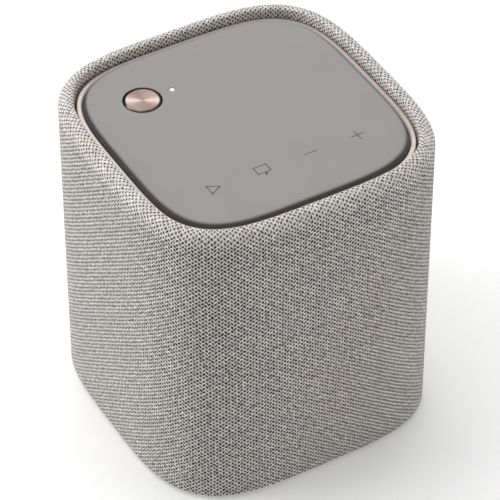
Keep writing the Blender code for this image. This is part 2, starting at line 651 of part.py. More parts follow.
def make_enclosure_lid():
    bottom = ENCLOSURE_TOP + CLEARANCE
    gasket_rows = [
        (enclosure_outline(GASKET_INSET), bottom),
        (enclosure_outline(GASKET_INSET), bottom + GASKET_THICKNESS),
        (enclosure_outline(ENCLOSURE_WALL), bottom + GASKET_THICKNESS),
        (enclosure_outline(ENCLOSURE_WALL), bottom),
    ]
    loft("enclosure_gasket", gasket_rows, material("seal_rubber"), closed=True)
    finish = material("enclosure_plastic")
    lid = slab("enclosure_lid", enclosure_outline(), LID_BOTTOM, LID_TOP, finish)
    hole = SCREW_RADIUS + SCREW_CLEARANCE
    foot = LID_TOP - CLEARANCE
    top = LID_TOP + PILLAR_HEIGHT
    for name, sx, sy in corner_names():
        pillar = (sx * BOARD_PILLAR_SPAN, sy * BOARD_PILLAR_SPAN, 0)
        combine(lid, peg(f"board_pillar_{name}", BOARD_PILLAR_RADIUS, foot, top, pillar))
        corner = (sx * LID_SCREW_SPAN, sy * LID_SCREW_SPAN, 0)
        cut(lid, peg(f"lid_hole_cutter_{name}", hole, LID_BOTTOM - THROUGH, LID_TOP + THROUGH, corner))
        head = (corner[0], corner[1], LID_TOP + CLEARANCE)
        screw(f"lid_screw_{name}", head, (0, 0, -1), LID_SCREW_LENGTH)


# Driver. Its pieces are turned about +Y, with depths measured back from the flange's front.


def driver_screw_places():
    """The driver's four screws, as (name, x, z)."""
    for row, sz in (("lower", -1), ("upper", 1)):
        for side, sx in (("left", -1), ("right", 1)):
            yield f"{row}_{side}", sx * DRIVER_SCREW_SPAN, DRIVER_HEIGHT + sz * DRIVER_SCREW_SPAN


def make_driver_basket():
    throat = MAGNET_GAP_RADIUS + CLEARANCE
    floor = BASKET_DEPTH - BASKET_WALL
    shoulder = DRIVER_FLANGE_THICKNESS + BASKET_SHOULDER
    seat = 2 * CLEARANCE + SURROUND_THICKNESS
    seat_radius = SURROUND_OUTER + CLEARANCE
    seat_wall = SURROUND_ROLL_OUTER - CLEARANCE
    rim_radius = BASKET_RADIUS + BASKET_RIM
    rim_back = DRIVER_FLANGE_THICKNESS - BASKET_RIM_SINK
    profile = [
        (rim_radius, BASKET_RIM_SINK),
        (rim_radius, rim_back),
        (BASKET_RADIUS, rim_back),
        (BASKET_RADIUS, shoulder),
        (BASKET_NECK_RADIUS, floor),
        (BASKET_NECK_RADIUS, BASKET_DEPTH),
        (throat, BASKET_DEPTH),
        (throat, floor),
        (BASKET_NECK_RADIUS - BASKET_WALL, floor),
        (seat_wall, shoulder - CLEARANCE),
        (seat_wall, seat + BASKET_SEAT_WALL),
        (seat_wall, seat),
        (seat_radius, seat),
        (seat_radius, BASKET_RIM_SINK),
    ]
    finish = material("basket_steel")
    basket = turned("driver_basket", profile, finish, DRIVER_PLACE, "Y", DRIVER_STEPS)
    half = DRIVER_FLANGE_HALF
    outline = rounded_rectangle(half, half, DRIVER_FLANGE_CORNER)
    plate = slab("flange_plate", outline, 0, DRIVER_FLANGE_THICKNESS)
    plate.location.z = DRIVER_HEIGHT
    stand_up(plate, DRIVER_FRONT)
    back = DRIVER_FLANGE_THICKNESS + THROUGH
    bore = seat_radius + CLEARANCE
    cut(plate, rod("flange_bore", bore, -THROUGH, back, DRIVER_PLACE, axis="Y", steps=DRIVER_STEPS))
    combine(basket, plate)
    hole = SCREW_RADIUS + SCREW_CLEARANCE
    for name, x, z in driver_screw_places():
        cut(basket, peg(f"flange_hole_{name}", hole, -THROUGH, back, (x, DRIVER_FRONT, z), axis="Y"))
        screw(f"driver_screw_{name}", (x, DRIVER_FRONT - CLEARANCE, z), (0, 1, 0), DRIVER_SCREW_LENGTH)
    window_size = (4 * BASKET_RADIUS, (floor - shoulder) * BASKET_WINDOW_SHARE, BASKET_WINDOW_WIDTH)
    for index in range(BASKET_WINDOW_PAIRS):
        window = block(f"basket_window_{index}", window_size, (0, 0, 0))
        window.location = (0, DRIVER_FRONT + (shoulder + floor) / 2, DRIVER_HEIGHT)
        window.rotation_euler = (0, math.pi / 4 + index * math.pi / 2, 0)
        cut(basket, window)


def make_driver_motor():
    steel = material("motor_steel")
    plate_front = BASKET_DEPTH + CLEARANCE
    plate_back = plate_front + TOP_PLATE_THICKNESS
    plate = [
        (MAGNET_GAP_RADIUS, plate_front),
        (TOP_PLATE_RADIUS, plate_front),
        (TOP_PLATE_RADIUS, plate_back),
        (MAGNET_GAP_RADIUS, plate_back),
    ]
    turned("driver_top_plate", plate, steel, DRIVER_PLACE, "Y")
    magnet_front = plate_back + CLEARANCE
    magnet_back = magnet_front + MAGNET_THICKNESS
    magnet = [
        (MAGNET_HOLE_RADIUS, magnet_front),
        (MAGNET_RADIUS, magnet_front),
        (MAGNET_RADIUS, magnet_back),
        (MAGNET_HOLE_RADIUS, magnet_back),
    ]
    turned("driver_magnet", magnet, material("magnet_finish"), DRIVER_PLACE, "Y")
    yoke_front = magnet_back + CLEARANCE
    yoke_back = yoke_front + YOKE_THICKNESS
    yoke = [
        (0, plate_front),
        (POLE_RADIUS, plate_front),
        (POLE_RADIUS, yoke_front),
        (TOP_PLATE_RADIUS, yoke_front),
        (TOP_PLATE_RADIUS, yoke_back),
        (0, yoke_back),
    ]
    turned("driver_yoke", yoke, steel, DRIVER_PLACE, "Y")


def cone_face(radius):
    """Depth of the cone's front face at a radius."""
    edge = 2 * CLEARANCE + SURROUND_THICKNESS
    share = (CONE_EDGE_RADIUS - radius) / (CONE_EDGE_RADIUS - CONE_NECK_RADIUS)
    return edge + CONE_DEPTH * share


def make_driver_cone():
    paper = material("cone_paper")
    thick = CONE_THICKNESS
    cone = [
        (CONE_EDGE_RADIUS, cone_face(CONE_EDGE_RADIUS)),
        (CONE_EDGE_RADIUS, cone_face(CONE_EDGE_RADIUS) + thick),
        (CONE_NECK_RADIUS, cone_face(CONE_NECK_RADIUS) + thick),
        (CONE_NECK_RADIUS - thick, cone_face(CONE_NECK_RADIUS) + thick),
        (CONE_NECK_RADIUS - thick, cone_face(CONE_NECK_RADIUS)),
        (SURROUND_INNER - CLEARANCE, cone_face(CONE_EDGE_RADIUS) + thick / 2),
        (SURROUND_INNER - CLEARANCE, cone_face(CONE_EDGE_RADIUS)),
    ]
    turned("driver_cone", cone, paper, DRIVER_PLACE, "Y", DRIVER_STEPS)
    rim = cone_face(DUST_CAP_RADIUS) - thick - 2 * CLEARANCE
    dome_radius = (DUST_CAP_RADIUS**2 + DUST_CAP_RISE**2) / (2 * DUST_CAP_RISE)
    centre = rim - DUST_CAP_RISE + dome_radius
    open_angle = math.degrees(math.asin(DUST_CAP_RADIUS / dome_radius))
    inside = dome_radius - thick
    cap = [(0, centre - dome_radius)]
    cap += list(arc((0, centre), dome_radius, -90, -90 + open_angle, 4))[1:]
    cap += list(arc((0, centre), inside, -90 + open_angle, -90, 4))[:-1]
    cap += [(0, centre - inside)]
    turned("driver_dust_cap", cap, paper, DRIVER_PLACE, "Y")
    coil_top = cone_face(CONE_NECK_RADIUS) + thick + CLEARANCE
    coil = [
        (COIL_INNER, coil_top),
        (COIL_OUTER, coil_top),
        (COIL_OUTER, coil_top + COIL_LENGTH),
        (COIL_INNER, coil_top + COIL_LENGTH),
    ]
    turned("driver_voice_coil", coil, material("copper"), DRIVER_PLACE, "Y")


def roll_line(start, end, face, rise, steps=4):
    """A half-round bulge between two places across a strip, as (place, height) points."""
    for step in range(steps + 1):
        angle = math.pi * step / steps
        yield ((start + end - (end - start) * math.cos(angle)) / 2, face + rise * math.sin(angle))


def make_driver_suspension():
    rubber = material("seal_rubber")
    bulge = list(roll_line(SURROUND_ROLL_INNER, SURROUND_ROLL_OUTER, CLEARANCE, -SURROUND_ROLL_RISE))
    front = [(SURROUND_INNER, CLEARANCE), *bulge, (SURROUND_OUTER, CLEARANCE)]
    back = [(radius, depth + SURROUND_THICKNESS) for radius, depth in reversed(front)]
    turned("driver_surround", front + back, rubber, DRIVER_PLACE, "Y", DRIVER_STEPS)
    spider_face = BASKET_DEPTH - BASKET_WALL - SPIDER_FROM_FLOOR
    inner, outer = COIL_OUTER + CLEARANCE, SPIDER_OUTER - CLEARANCE
    steps = SPIDER_WAVES * SPIDER_WAVE_STEPS
    line = []
    for step in range(steps + 1):
        lift = SPIDER_WAVE_HEIGHT * math.sin(2 * math.pi * SPIDER_WAVES * step / steps)
        line.append((inner + (outer - inner) * step / steps, spider_face + lift))
    back_line = [(radius, depth + SPIDER_THICKNESS) for radius, depth in reversed(line)]
    turned("driver_spider", line + back_line, material("spider_cloth"), DRIVER_PLACE, "Y")


def make_driver_gasket():
    back = -CLEARANCE
    front = back - DRIVER_GASKET_THICKNESS
    outer = DRIVER_FLANGE_HALF - DRIVER_GASKET_INSET
    gasket = [(BASKET_RADIUS, front), (outer, front), (outer, back), (BASKET_RADIUS, back)]
    turned("driver_gasket", gasket, material("foam"), DRIVER_PLACE, "Y", DRIVER_STEPS)


# Passive radiator. Its pieces are drawn flat and stood up, with heights measured back from the wall.


def radiator_outline(inset):
    corner = RADIATOR_CORNER - inset
    return rounded_rectangle(RADIATOR_HALF[0] - inset, RADIATOR_HALF[1] - inset, corner)


def place_radiator_piece(obj):
    obj.location.z = RADIATOR_HEIGHT
    stand_up(obj, ENCLOSURE_HALF + CLEARANCE)


def make_radiator():
    wall = RADIATOR_FRAME_WALL
    thick = RADIATOR_FRAME_THICKNESS
    frame_rows = [
        (radiator_outline(0), 0),
        (radiator_outline(0), thick),
        (radiator_outline(wall), thick),
        (radiator_outline(wall), 0),
    ]
    basket = material("basket_steel")
    frame = loft("radiator_frame", frame_rows, basket, closed=True)
    place_radiator_piece(frame)
    land = RADIATOR_ROLL_LAND
    outer = wall - land
    roll_start, roll_end = wall + CLEARANCE, wall + CLEARANCE + RADIATOR_ROLL_WIDTH
    face = thick + CLEARANCE
    inner = roll_end + land
    bulge = list(roll_line(roll_start, roll_end, face, RADIATOR_ROLL_RISE))
    lower = [(outer, face), *bulge, (inner, face)]
    upper = [(inset, height + SURROUND_THICKNESS) for inset, height in reversed(lower)]
    rows = [(radiator_outline(inset), height) for inset, height in lower + upper]
    rubber = material("seal_rubber")
    place_radiator_piece(loft("radiator_surround", rows, rubber, closed=True))
    plate_inset = roll_end + CLEARANCE
    plate_top = face - CLEARANCE
    plate_bottom = plate_top - RADIATOR_DIAPHRAGM_THICKNESS
    chamfer = RADIATOR_DIAPHRAGM_CHAMFER
    plate_rows = [
        (radiator_outline(plate_inset + chamfer), plate_bottom),
        (radiator_outline(plate_inset), plate_bottom + chamfer),
        (radiator_outline(plate_inset), plate_top),
    ]
    plate = loft("radiator_diaphragm", plate_rows, material("diaphragm_metal"))
    place_radiator_piece(plate)


# Battery


def make_battery():
    finish = material("cell_wrap")
    half, can_end = CELL_LENGTH / 2, CELL_LENGTH / 2 - CELL_TERMINAL_HEIGHT
    profile = [
        (0, -half),
        (CELL_RADIUS - CELL_CHAMFER, -half),
        (CELL_RADIUS, -half + CELL_CHAMFER),
        (CELL_RADIUS, can_end - CELL_CHAMFER),
        (CELL_RADIUS - CELL_CHAMFER, can_end),
        (CELL_TERMINAL_RADIUS, can_end),
        (CELL_TERMINAL_RADIUS, half),
        (0, half),
    ]
    holder_front = CELL_DEPTH_PLACE + HOLDER_FROM_AXIS
    size = (HOLDER_WIDTH, HOLDER_THICKNESS, 2 * CELL_PITCH)
    centre = (0, holder_front + HOLDER_THICKNESS / 2, ENCLOSURE_MIDDLE)
    holder = block("battery_holder", size, centre, material("holder_plastic"))
    for name, side in (("lower", -1), ("upper", 1)):
        place = (0, CELL_DEPTH_PLACE, ENCLOSURE_MIDDLE + side * CELL_PITCH / 2)
        turned(f"battery_cell_{name}", profile, finish, place, "X")
        groove = CELL_RADIUS + CLEARANCE
        cut(holder, rod(f"cell_groove_{name}", groove, -HOLDER_WIDTH, HOLDER_WIDTH, place, axis="X"))


# Main board and charging inlet


def make_main_board():
    board = material("circuit_board")
    half_x, half_y = MAIN_BOARD_HALF
    corners = rounded_rectangle(half_x, half_y, MAIN_BOARD_CORNER, 2)
    outline = [(x, y + MAIN_BOARD_SHIFT) for x, y in corners]
    slab("main_board", outline, MAIN_BOARD_BOTTOM, MAIN_BOARD_TOP, board)
    seat = MAIN_BOARD_TOP + CLEARANCE
    can = material("tinned_steel")
    shield_centre = (SHIELD_PLACE[0] * half_x, SHIELD_PLACE[1] * half_y, seat + SHIELD_SIZE[2] / 2)
    block("shield_can", SHIELD_SIZE, shield_centre, can)
    capacitor = [
        (0, 0),
        (CAPACITOR_RADIUS, 0),
        (CAPACITOR_RADIUS, CAPACITOR_HEIGHT - CAPACITOR_CHAMFER),
        (CAPACITOR_RADIUS - CAPACITOR_CHAMFER, CAPACITOR_HEIGHT),
        (0, CAPACITOR_HEIGHT),
    ]
    place = (CAPACITOR_PLACE[0] * half_x, CAPACITOR_PLACE[1] * half_y, seat)
    turned("filter_capacitor", capacitor, can, place)


def bezel_face():
    return HALF - BEZEL_SINK


def bezel_back():
    return bezel_face() - BEZEL_RECESS - BEZEL_BACK


def make_usb_socket():
    """A flat metal shell, open to the back, with its contact tongue."""
    mouth = bezel_back() - USB_FROM_EDGE
    width, length, height = USB_SHELL
    outline = round_ended(width / 2, height / 2)
    inner = round_ended(width / 2 - USB_SHELL_WALL, height / 2 - USB_SHELL_WALL)
    rows = [(outline, 0), (outline, length), (inner, length), (inner, USB_SHELL_BACK)]
    socket = loft("usb_socket", rows, material("tinned_steel"))
    socket.location.z = USB_HEIGHT
    stand_up(socket, mouth - length)
    tongue_centre = (0, mouth - length + (USB_SHELL_BACK + USB_TONGUE[1]) / 2, USB_HEIGHT)
    combine(socket, block("usb_tongue", USB_TONGUE, tongue_centre))


def make_usb_bezel():
    half_x, half_z = BEZEL_OPENING[0] / 2, BEZEL_OPENING[1] / 2
    outer = rounded_rectangle(half_x + BEZEL_WALL, half_z + BEZEL_WALL, BEZEL_CORNER, 4)
    opening = rounded_rectangle(half_x, half_z, BEZEL_CORNER - BEZEL_WALL / 2, 4)
    slot = round_ended(USB_SHELL[0] / 2 + BEZEL_SLOT_GAP, USB_SHELL[2] / 2 + BEZEL_SLOT_GAP)
    depth = BEZEL_RECESS + BEZEL_BACK
    rows = [
        (outer, 0),
        (outer, depth),
        (opening, depth),
        (opening, BEZEL_BACK),
        (slot, BEZEL_BACK),
        (slot, 0),
    ]
    bezel = loft("usb_bezel", rows, material("bezel_plastic"), closed=True)
    bezel.location.z = USB_HEIGHT
    stand_up(bezel, bezel_back())


# Top assembly


def key_place(index):
    return (KEY_ROW_MIDDLE + (index - (len(KEY_NAMES) - 1) / 2) * KEY_PITCH, KEY_ROW_Y, 0)


def make_top_carrier():
    flange_top = CREST - LIP_DEPTH - CLEARANCE
    flange_bottom = flange_top - CARRIER_FLANGE_HEIGHT
    flange_inset = SHELL_INNER_INSET + 1.5 * CLEARANCE
    shelf = RING_BOTTOM - CLEARANCE
    collar_inset = LIP_INSET + CLEARANCE
    skirt_inset = flange_inset + CARRIER_SKIRT_WALL
    raised = PANEL_HALF - PANEL_SKIRT_WALL - CLEARANCE
    rows = [
        (body_outline(skirt_inset), CARRIER_UNDERSIDE),
        (body_outline(skirt_inset), flange_bottom),
        (body_outline(flange_inset), flange_bottom),
        (body_outline(flange_inset), flange_top),
        (body_outline(collar_inset), flange_top),
        (body_outline(collar_inset), shelf),
        (panel_outline(raised), shelf),
        (panel_outline(raised), CARRIER_TOP),
    ]
    carrier = loft("top_carrier", rows, material("carrier_plastic"))
    low, high = CARRIER_UNDERSIDE - THROUGH, CARRIER_TOP + THROUGH
    button = (*BUTTON_PLACE, 0)
    cut(carrier, rod("carrier_button_cutter", BUTTON_RADIUS + BUTTON_GAP, low, high, button))
    light = (*LIGHT_PLACE, 0)
    cut(carrier, peg("carrier_light_cutter", LIGHT_RADIUS + LIGHT_GAP, low, high, light))
    hole = KEY_DISC_RADIUS + KEY_HOLE_GAP
    for index, name in enumerate(KEY_NAMES):
        place = key_place(index)
        cut(carrier, rod(f"carrier_{name}_cutter", hole, low, high, place, steps=KEY_STEPS))


def make_trim_ring():
    outer = body_outline(RING_OUTER_INSET)
    rows = [
        (outer, RING_BOTTOM),
        (outer, RING_TOP),
        (panel_outline(RING_INNER_HALF + RING_CHAMFER), RING_TOP),
        (panel_outline(RING_INNER_HALF), RING_TOP - RING_CHAMFER),
        (panel_outline(RING_INNER_HALF), RING_BOTTOM),
    ]
    loft("trim_ring", rows, material("pink_gold"), closed=True)


def make_top_skin():
    edge = PANEL_EDGE_RADIUS
    pocket = panel_outline(PANEL_HALF - PANEL_SKIRT_WALL)
    rows = [
        (pocket, PANEL_UNDERSIDE),
        (pocket, PANEL_TOP - PANEL_SKIRT),
        (panel_outline(PANEL_HALF), PANEL_TOP - PANEL_SKIRT),
    ]
    for across, height in arc((PANEL_HALF - edge, PANEL_TOP - edge), edge, 0, 90, 3):
        rows.append((panel_outline(across), height))
    skin = loft("top_skin", rows, material("soft_skin"))
    low, high = PANEL_UNDERSIDE - THROUGH, PANEL_TOP + THROUGH
    button = (*BUTTON_PLACE, 0)
    hole = BUTTON_RADIUS + BUTTON_GAP
    cut(skin, rod("skin_button_cutter", hole, low, high, button, steps=DRIVER_STEPS))
    light = (*LIGHT_PLACE, 0)
    cut(skin, peg("skin_light_cutter", LIGHT_RADIUS + LIGHT_GAP, low, high, light))


def button_flange_top():
    return CARRIER_UNDERSIDE - CLEARANCE


def switch_stem_top():
    return button_flange_top() - BUTTON_FLANGE_HEIGHT - BUTTON_NOSE_LENGTH - CLEARANCE


def make_power_button():
    top = PANEL_TOP + BUTTON_PROUD
    bottom = top - BUTTON_THICKNESS
    cap = [
        (0, bottom),
        (BUTTON_RADIUS, bottom),
        (BUTTON_RADIUS, top - BUTTON_BEVEL),
        (BUTTON_RADIUS - BUTTON_BEVEL, top),
        (0, top - BUTTON_DISH),
    ]
    place = (*BUTTON_PLACE, 0)
    turned("power_button_cap", cap, material("pink_gold"), place, steps=DRIVER_STEPS)
    flange_top = button_flange_top()
    flange_bottom = flange_top - BUTTON_FLANGE_HEIGHT
    nose = switch_stem_top() + CLEARANCE
    stem = [
        (0, nose),
        (BUTTON_NOSE_RADIUS, nose),
        (BUTTON_NOSE_RADIUS, flange_bottom),
        (BUTTON_FLANGE_RADIUS, flange_bottom),
        (BUTTON_FLANGE_RADIUS, flange_top),
        (BUTTON_COLUMN_RADIUS, flange_top),
        (BUTTON_COLUMN_RADIUS, bottom - CLEARANCE),
        (0, bottom - CLEARANCE),
    ]
    turned("power_button_stem", stem, material("carrier_plastic"), place)


def make_power_switch():
    base = CONTROL_BOARD_TOP + CLEARANCE
    top = base + POWER_SWITCH_HEIGHT
    side = POWER_SWITCH_SIDE
    black = material("switch_plastic")
    centre = (*BUTTON_PLACE, (base + top) / 2)
    body = block("power_switch", (side, side, POWER_SWITCH_HEIGHT), centre, black)
    place = (*BUTTON_PLACE, 0)
    bore_radius = POWER_SWITCH_STEM_RADIUS + CLEARANCE
    bore_floor = base + SWITCH_FLOOR
    cut(body, peg("power_switch_bore", bore_radius, bore_floor, top + THROUGH, place))
    stem_foot = bore_floor + BUTTON_TRAVEL + CLEARANCE
    radius = POWER_SWITCH_STEM_RADIUS
    rod("power_switch_stem", radius, stem_foot, switch_stem_top(), place, black, steps=HOLE_STEPS)


def make_keys():
    base = CONTROL_BOARD_TOP + CLEARANCE
    top = base + KEY_SWITCH_HEIGHT
    disc_top = PANEL_UNDERSIDE - CLEARANCE
    disc_bottom = disc_top - KEY_DISC_HEIGHT
    recess = top - KEY_SWITCH_RECESS_DEPTH
    nose_bottom = recess + KEY_TRAVEL + CLEARANCE
    steel = material("switch_steel")
    rubber = material("key_rubber")
    plunger = [
        (0, nose_bottom),
        (KEY_NOSE_RADIUS, nose_bottom),
        (KEY_NOSE_RADIUS, disc_bottom),
        (KEY_DISC_RADIUS, disc_bottom),
        (KEY_DISC_RADIUS, disc_top),
        (0, disc_top),
    ]
    size = (KEY_SWITCH_SIDE, KEY_SWITCH_SIDE, KEY_SWITCH_HEIGHT)
    for index, name in enumerate(KEY_NAMES):
        place = key_place(index)
        body = block(f"{name}_switch", size, (place[0], place[1], (base + top) / 2), steel)
        cut(body, peg(f"{name}_dome_recess", KEY_SWITCH_RECESS_RADIUS, recess, top + THROUGH, place))
        turned(f"{name}_plunger", plunger, rubber, place, steps=KEY_STEPS)


def make_control_board():
    half = CONTROL_BOARD_HALF
    outline = rounded_rectangle(half, half, CONTROL_BOARD_CORNER, 4)
    board = material("circuit_board")
    slab("control_board", outline, CONTROL_BOARD_BOTTOM, CONTROL_BOARD_TOP, board)
    seat = CONTROL_BOARD_TOP + CLEARANCE
    lamp = material("lamp_white")
    block("status_led", LED_SIZE, (*LIGHT_PLACE, seat + LED_SIZE[2] / 2), lamp)
    pipe_bottom = seat + LED_SIZE[2] + CLEARANCE
    pipe_top = PANEL_TOP - LIGHT_SINK
    clear = material("clear_plastic")
    place = (*LIGHT_PLACE, 0)
    rod("light_pipe", LIGHT_RADIUS, pipe_bottom, pipe_top, place, clear, steps=HOLE_STEPS)
    can = material("tinned_steel")
    block("microphone", MICROPHONE_SIZE, (0, 0, seat + MICROPHONE_SIZE[2] / 2), can)


def main():
    clear_scene()
    make_fabric_sleeve()
    make_cabinet_shell()
    make_base_plate()
    make_base_screws()
    make_rubber_foot()
    make_inner_enclosure()
    make_enclosure_lid()
    make_driver_basket()
    make_driver_motor()
    make_driver_cone()
    make_driver_suspension()
    make_driver_gasket()
    make_radiator()
    make_battery()
    make_main_board()
    make_usb_socket()
    make_usb_bezel()
    make_top_carrier()
    make_trim_ring()
    make_top_skin()
    make_power_button()
    make_power_switch()
    make_keys()
    make_control_board()


main()
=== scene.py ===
import json
import math
from bisect import bisect_left

import bmesh
import bpy
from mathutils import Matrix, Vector

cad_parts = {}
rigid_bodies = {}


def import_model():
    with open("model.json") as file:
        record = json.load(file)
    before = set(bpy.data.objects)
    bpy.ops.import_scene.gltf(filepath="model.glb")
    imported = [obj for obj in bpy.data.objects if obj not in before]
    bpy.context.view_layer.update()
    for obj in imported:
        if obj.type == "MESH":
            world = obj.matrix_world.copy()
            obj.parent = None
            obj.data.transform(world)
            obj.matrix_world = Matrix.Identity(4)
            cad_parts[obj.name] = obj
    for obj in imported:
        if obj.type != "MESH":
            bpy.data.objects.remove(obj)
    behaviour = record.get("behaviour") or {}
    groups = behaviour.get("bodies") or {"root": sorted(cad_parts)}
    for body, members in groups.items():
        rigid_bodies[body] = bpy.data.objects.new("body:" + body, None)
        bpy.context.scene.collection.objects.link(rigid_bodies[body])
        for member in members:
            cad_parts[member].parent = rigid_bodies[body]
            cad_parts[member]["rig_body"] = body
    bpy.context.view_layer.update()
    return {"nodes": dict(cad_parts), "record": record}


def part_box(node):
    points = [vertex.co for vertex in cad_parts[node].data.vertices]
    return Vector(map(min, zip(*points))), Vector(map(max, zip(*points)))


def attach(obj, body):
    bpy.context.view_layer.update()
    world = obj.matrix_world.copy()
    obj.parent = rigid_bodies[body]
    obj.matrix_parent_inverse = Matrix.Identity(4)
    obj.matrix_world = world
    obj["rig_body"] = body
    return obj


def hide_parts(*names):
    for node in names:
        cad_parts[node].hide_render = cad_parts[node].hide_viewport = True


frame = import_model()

mm = 0.001
usualSharpAngle = 35  # degrees
noiseRange = (0.3, 0.7)  # nearly all of a noise's values lie between these
scene = bpy.context.scene
print("frame loaded:", len(frame["nodes"]), "nodes")


# small helpers for finishes

def addNode(tree, kind, inputs=None, **properties):
    node = tree.nodes.new(kind)
    for key, value in properties.items():
        setattr(node, key, value)
    for socket, value in (inputs or {}).items():
        if isinstance(value, bpy.types.NodeSocket):
            tree.links.new(value, node.inputs[socket])
        else:
            node.inputs[socket].default_value = value
    return node


def newFinish(name, colour, roughness, **sockets):
    finish = bpy.data.materials.new(name)
    finish.use_nodes = True
    shader = finish.node_tree.nodes["Principled BSDF"]
    shader.inputs["Base Color"].default_value = (*colour, 1)
    shader.inputs["Roughness"].default_value = roughness
    for socket, value in sockets.items():
        shader.inputs[socket.replace("_", " ")].default_value = value
    return finish, finish.node_tree, shader


def maths(tree, operation, first, second=0.0):
    return addNode(tree, "ShaderNodeMath", {0: first, 1: second}, operation=operation).outputs[0]


def vectorMaths(tree, operation, first, second=(0, 0, 0)):
    node = addNode(tree, "ShaderNodeVectorMath", {0: first, 1: second}, operation=operation)
    return node.outputs["Value" if operation in ("DOT_PRODUCT", "LENGTH") else "Vector"]


def objectPlace(tree):
    return addNode(tree, "ShaderNodeTexCoord").outputs["Object"]


def noise(tree, place, scale, detail=2.0, roughness=0.5):
    return addNode(tree, "ShaderNodeTexNoise", {
        "Vector": place, "Scale": scale, "Detail": detail, "Roughness": roughness}).outputs[0]


def spread(tree, value, fromLow, fromHigh, toLow=0.0, toHigh=1.0, smooth=False):
    return addNode(tree, "ShaderNodeMapRange", {
        "Value": value, "From Min": fromLow, "From Max": fromHigh, "To Min": toLow, "To Max": toHigh},
        interpolation_type="SMOOTHSTEP" if smooth else "LINEAR").outputs[0]


def mixColours(tree, factor, first, second):
    node = addNode(tree, "ShaderNodeMix", data_type="RGBA")
    for index, value in ((0, factor), (6, first), (7, second)):
        if isinstance(value, bpy.types.NodeSocket):
            tree.links.new(value, node.inputs[index])
        else:
            node.inputs[index].default_value = value if index == 0 else (*value, 1)
    return node.outputs[2]


def bump(tree, shader, height, strength, distance):
    node = addNode(tree, "ShaderNodeBump", {"Height": height, "Strength": strength, "Distance": distance})
    tree.links.new(node.outputs["Normal"], shader.inputs["Normal"])


def paint(tree, shader, colour):
    tree.links.new(colour, shader.inputs["Base Color"])


def tint(tree, colour, tone):
    node = addNode(tree, "ShaderNodeVectorMath", {0: colour, "Scale": tone}, operation="SCALE")
    return node.outputs["Vector"]


def shade(colour, amount):
    return tuple(min(1.0, channel * amount) for channel in colour)


def tones(tree, factor, colour, darker, lighter):
    return mixColours(tree, factor, shade(colour, darker), shade(colour, lighter))


def heightOf(tree, place):
    return addNode(tree, "ShaderNodeSeparateXYZ", {0: place}).outputs[2]


# small helpers for shapes; the points of a profile are in mm, all else in metres

def softSquare(half, exponent, count):
    # evenly spaced points round a soft square, each with its outward direction
    def onOutline(turn):
        cosine = math.cos(turn)
        sine = math.sin(turn)
        reach = half / (abs(cosine) ** exponent + abs(sine) ** exponent) ** (1 / exponent)
        return Vector((cosine * reach, sine * reach))

    fineCount = 16 * count
    fine = [onOutline(math.tau * step / fineCount) for step in range(fineCount + 1)]
    lengths = [0.0]
    for before, after in zip(fine, fine[1:]):
        lengths.append(lengths[-1] + (after - before).length)
    outline = []
    for step in range(count):
        wanted = lengths[-1] * step / count
        high = max(1, bisect_left(lengths, wanted))
        share = (wanted - lengths[high - 1]) / (lengths[high] - lengths[high - 1])
        spot = fine[high - 1].lerp(fine[high], share)
        outward = Vector([math.copysign(abs(value / half) ** (exponent - 1), value) for value in spot])
        outline.append((spot, outward.normalized()))
    return outline, lengths[-1]


def arc(centre, radius, start, end, steps):
    # points of a profile's arc, angles in degrees from the inward direction up
    turns = [math.radians(start + (end - start) * step / steps) for step in range(steps + 1)]
    return [(centre[0] + radius * math.cos(turn), centre[1] + radius * math.sin(turn)) for turn in turns]


def sweep(outline, profile, closed=True):
    # a profile of (inset, height) points carried round an outline
    bm = bmesh.new()
    turn = bm.verts.layers.int.new("turn")
    along = bm.verts.layers.float.new("along")
    bmesh.ops.create_circle(bm, cap_ends=False, radius=1, segments=len(outline))
    for number, vert in enumerate(bm.verts):
        vert[turn] = number

    def settle(verts, inset, height, travelled):
        for vert in verts:
            spot, outward = outline[vert[turn]]
            vert.co = (*(spot - outward * inset * mm), height * mm)
            vert[along] = travelled

    settle(bm.verts, *profile[0], 0.0)
    firstEdges = edges = list(bm.edges)
    travelled = 0.0
    for before, after in zip(profile, profile[1:]):
        travelled += math.dist(before, after)
        made = bmesh.ops.extrude_edge_only(bm, edges=edges)["geom"]
        settle([part for part in made if isinstance(part, bmesh.types.BMVert)], *after, travelled)
        edges = [part for part in made if isinstance(part, bmesh.types.BMEdge) and part.is_boundary]
    if closed:
        bmesh.ops.bridge_loops(bm, edges=firstEdges + edges)
    else:
        bmesh.ops.edgeloop_fill(bm, edges=firstEdges)
        bmesh.ops.edgeloop_fill(bm, edges=edges)
    bmesh.ops.recalc_face_normals(bm, faces=bm.faces)
    return bm


def turned(profile, centre, steps):
    # a profile of (radius, height) points spun round an upright axis
    bm = bmesh.new()
    verts = [bm.verts.new((radius * mm, 0, height * mm)) for radius, height in profile]
    edges = [bm.edges.new(pair) for pair in zip(verts, verts[1:])]
    bmesh.ops.spin(bm, geom=verts + edges, cent=(0, 0, 0), axis=(0, 0, 1), angle=math.tau,
                   steps=steps, use_merge=True)
    bmesh.ops.remove_doubles(bm, verts=bm.verts, dist=1e-6)
    bmesh.ops.recalc_face_normals(bm, faces=bm.faces)
    bmesh.ops.translate(bm, verts=bm.verts, vec=(centre[0], centre[1], 0))
    return bm


def meshOf(bm, name, sharpAngle=usualSharpAngle):
    mesh = bpy.data.meshes.new(name)
    bm.to_mesh(mesh)
    bm.free()
    mesh.shade_smooth()
    mesh.set_sharp_from_angle(angle=math.radians(sharpAngle))
    return mesh


def addPiece(name, mesh, finishes, body, replaced=()):
    piece = bpy.data.objects.new(name, mesh)
    scene.collection.objects.link(piece)
    for finish in finishes:
        mesh.materials.append(finish)
    if replaced:
        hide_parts(*replaced)
    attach(piece, body)
    return piece


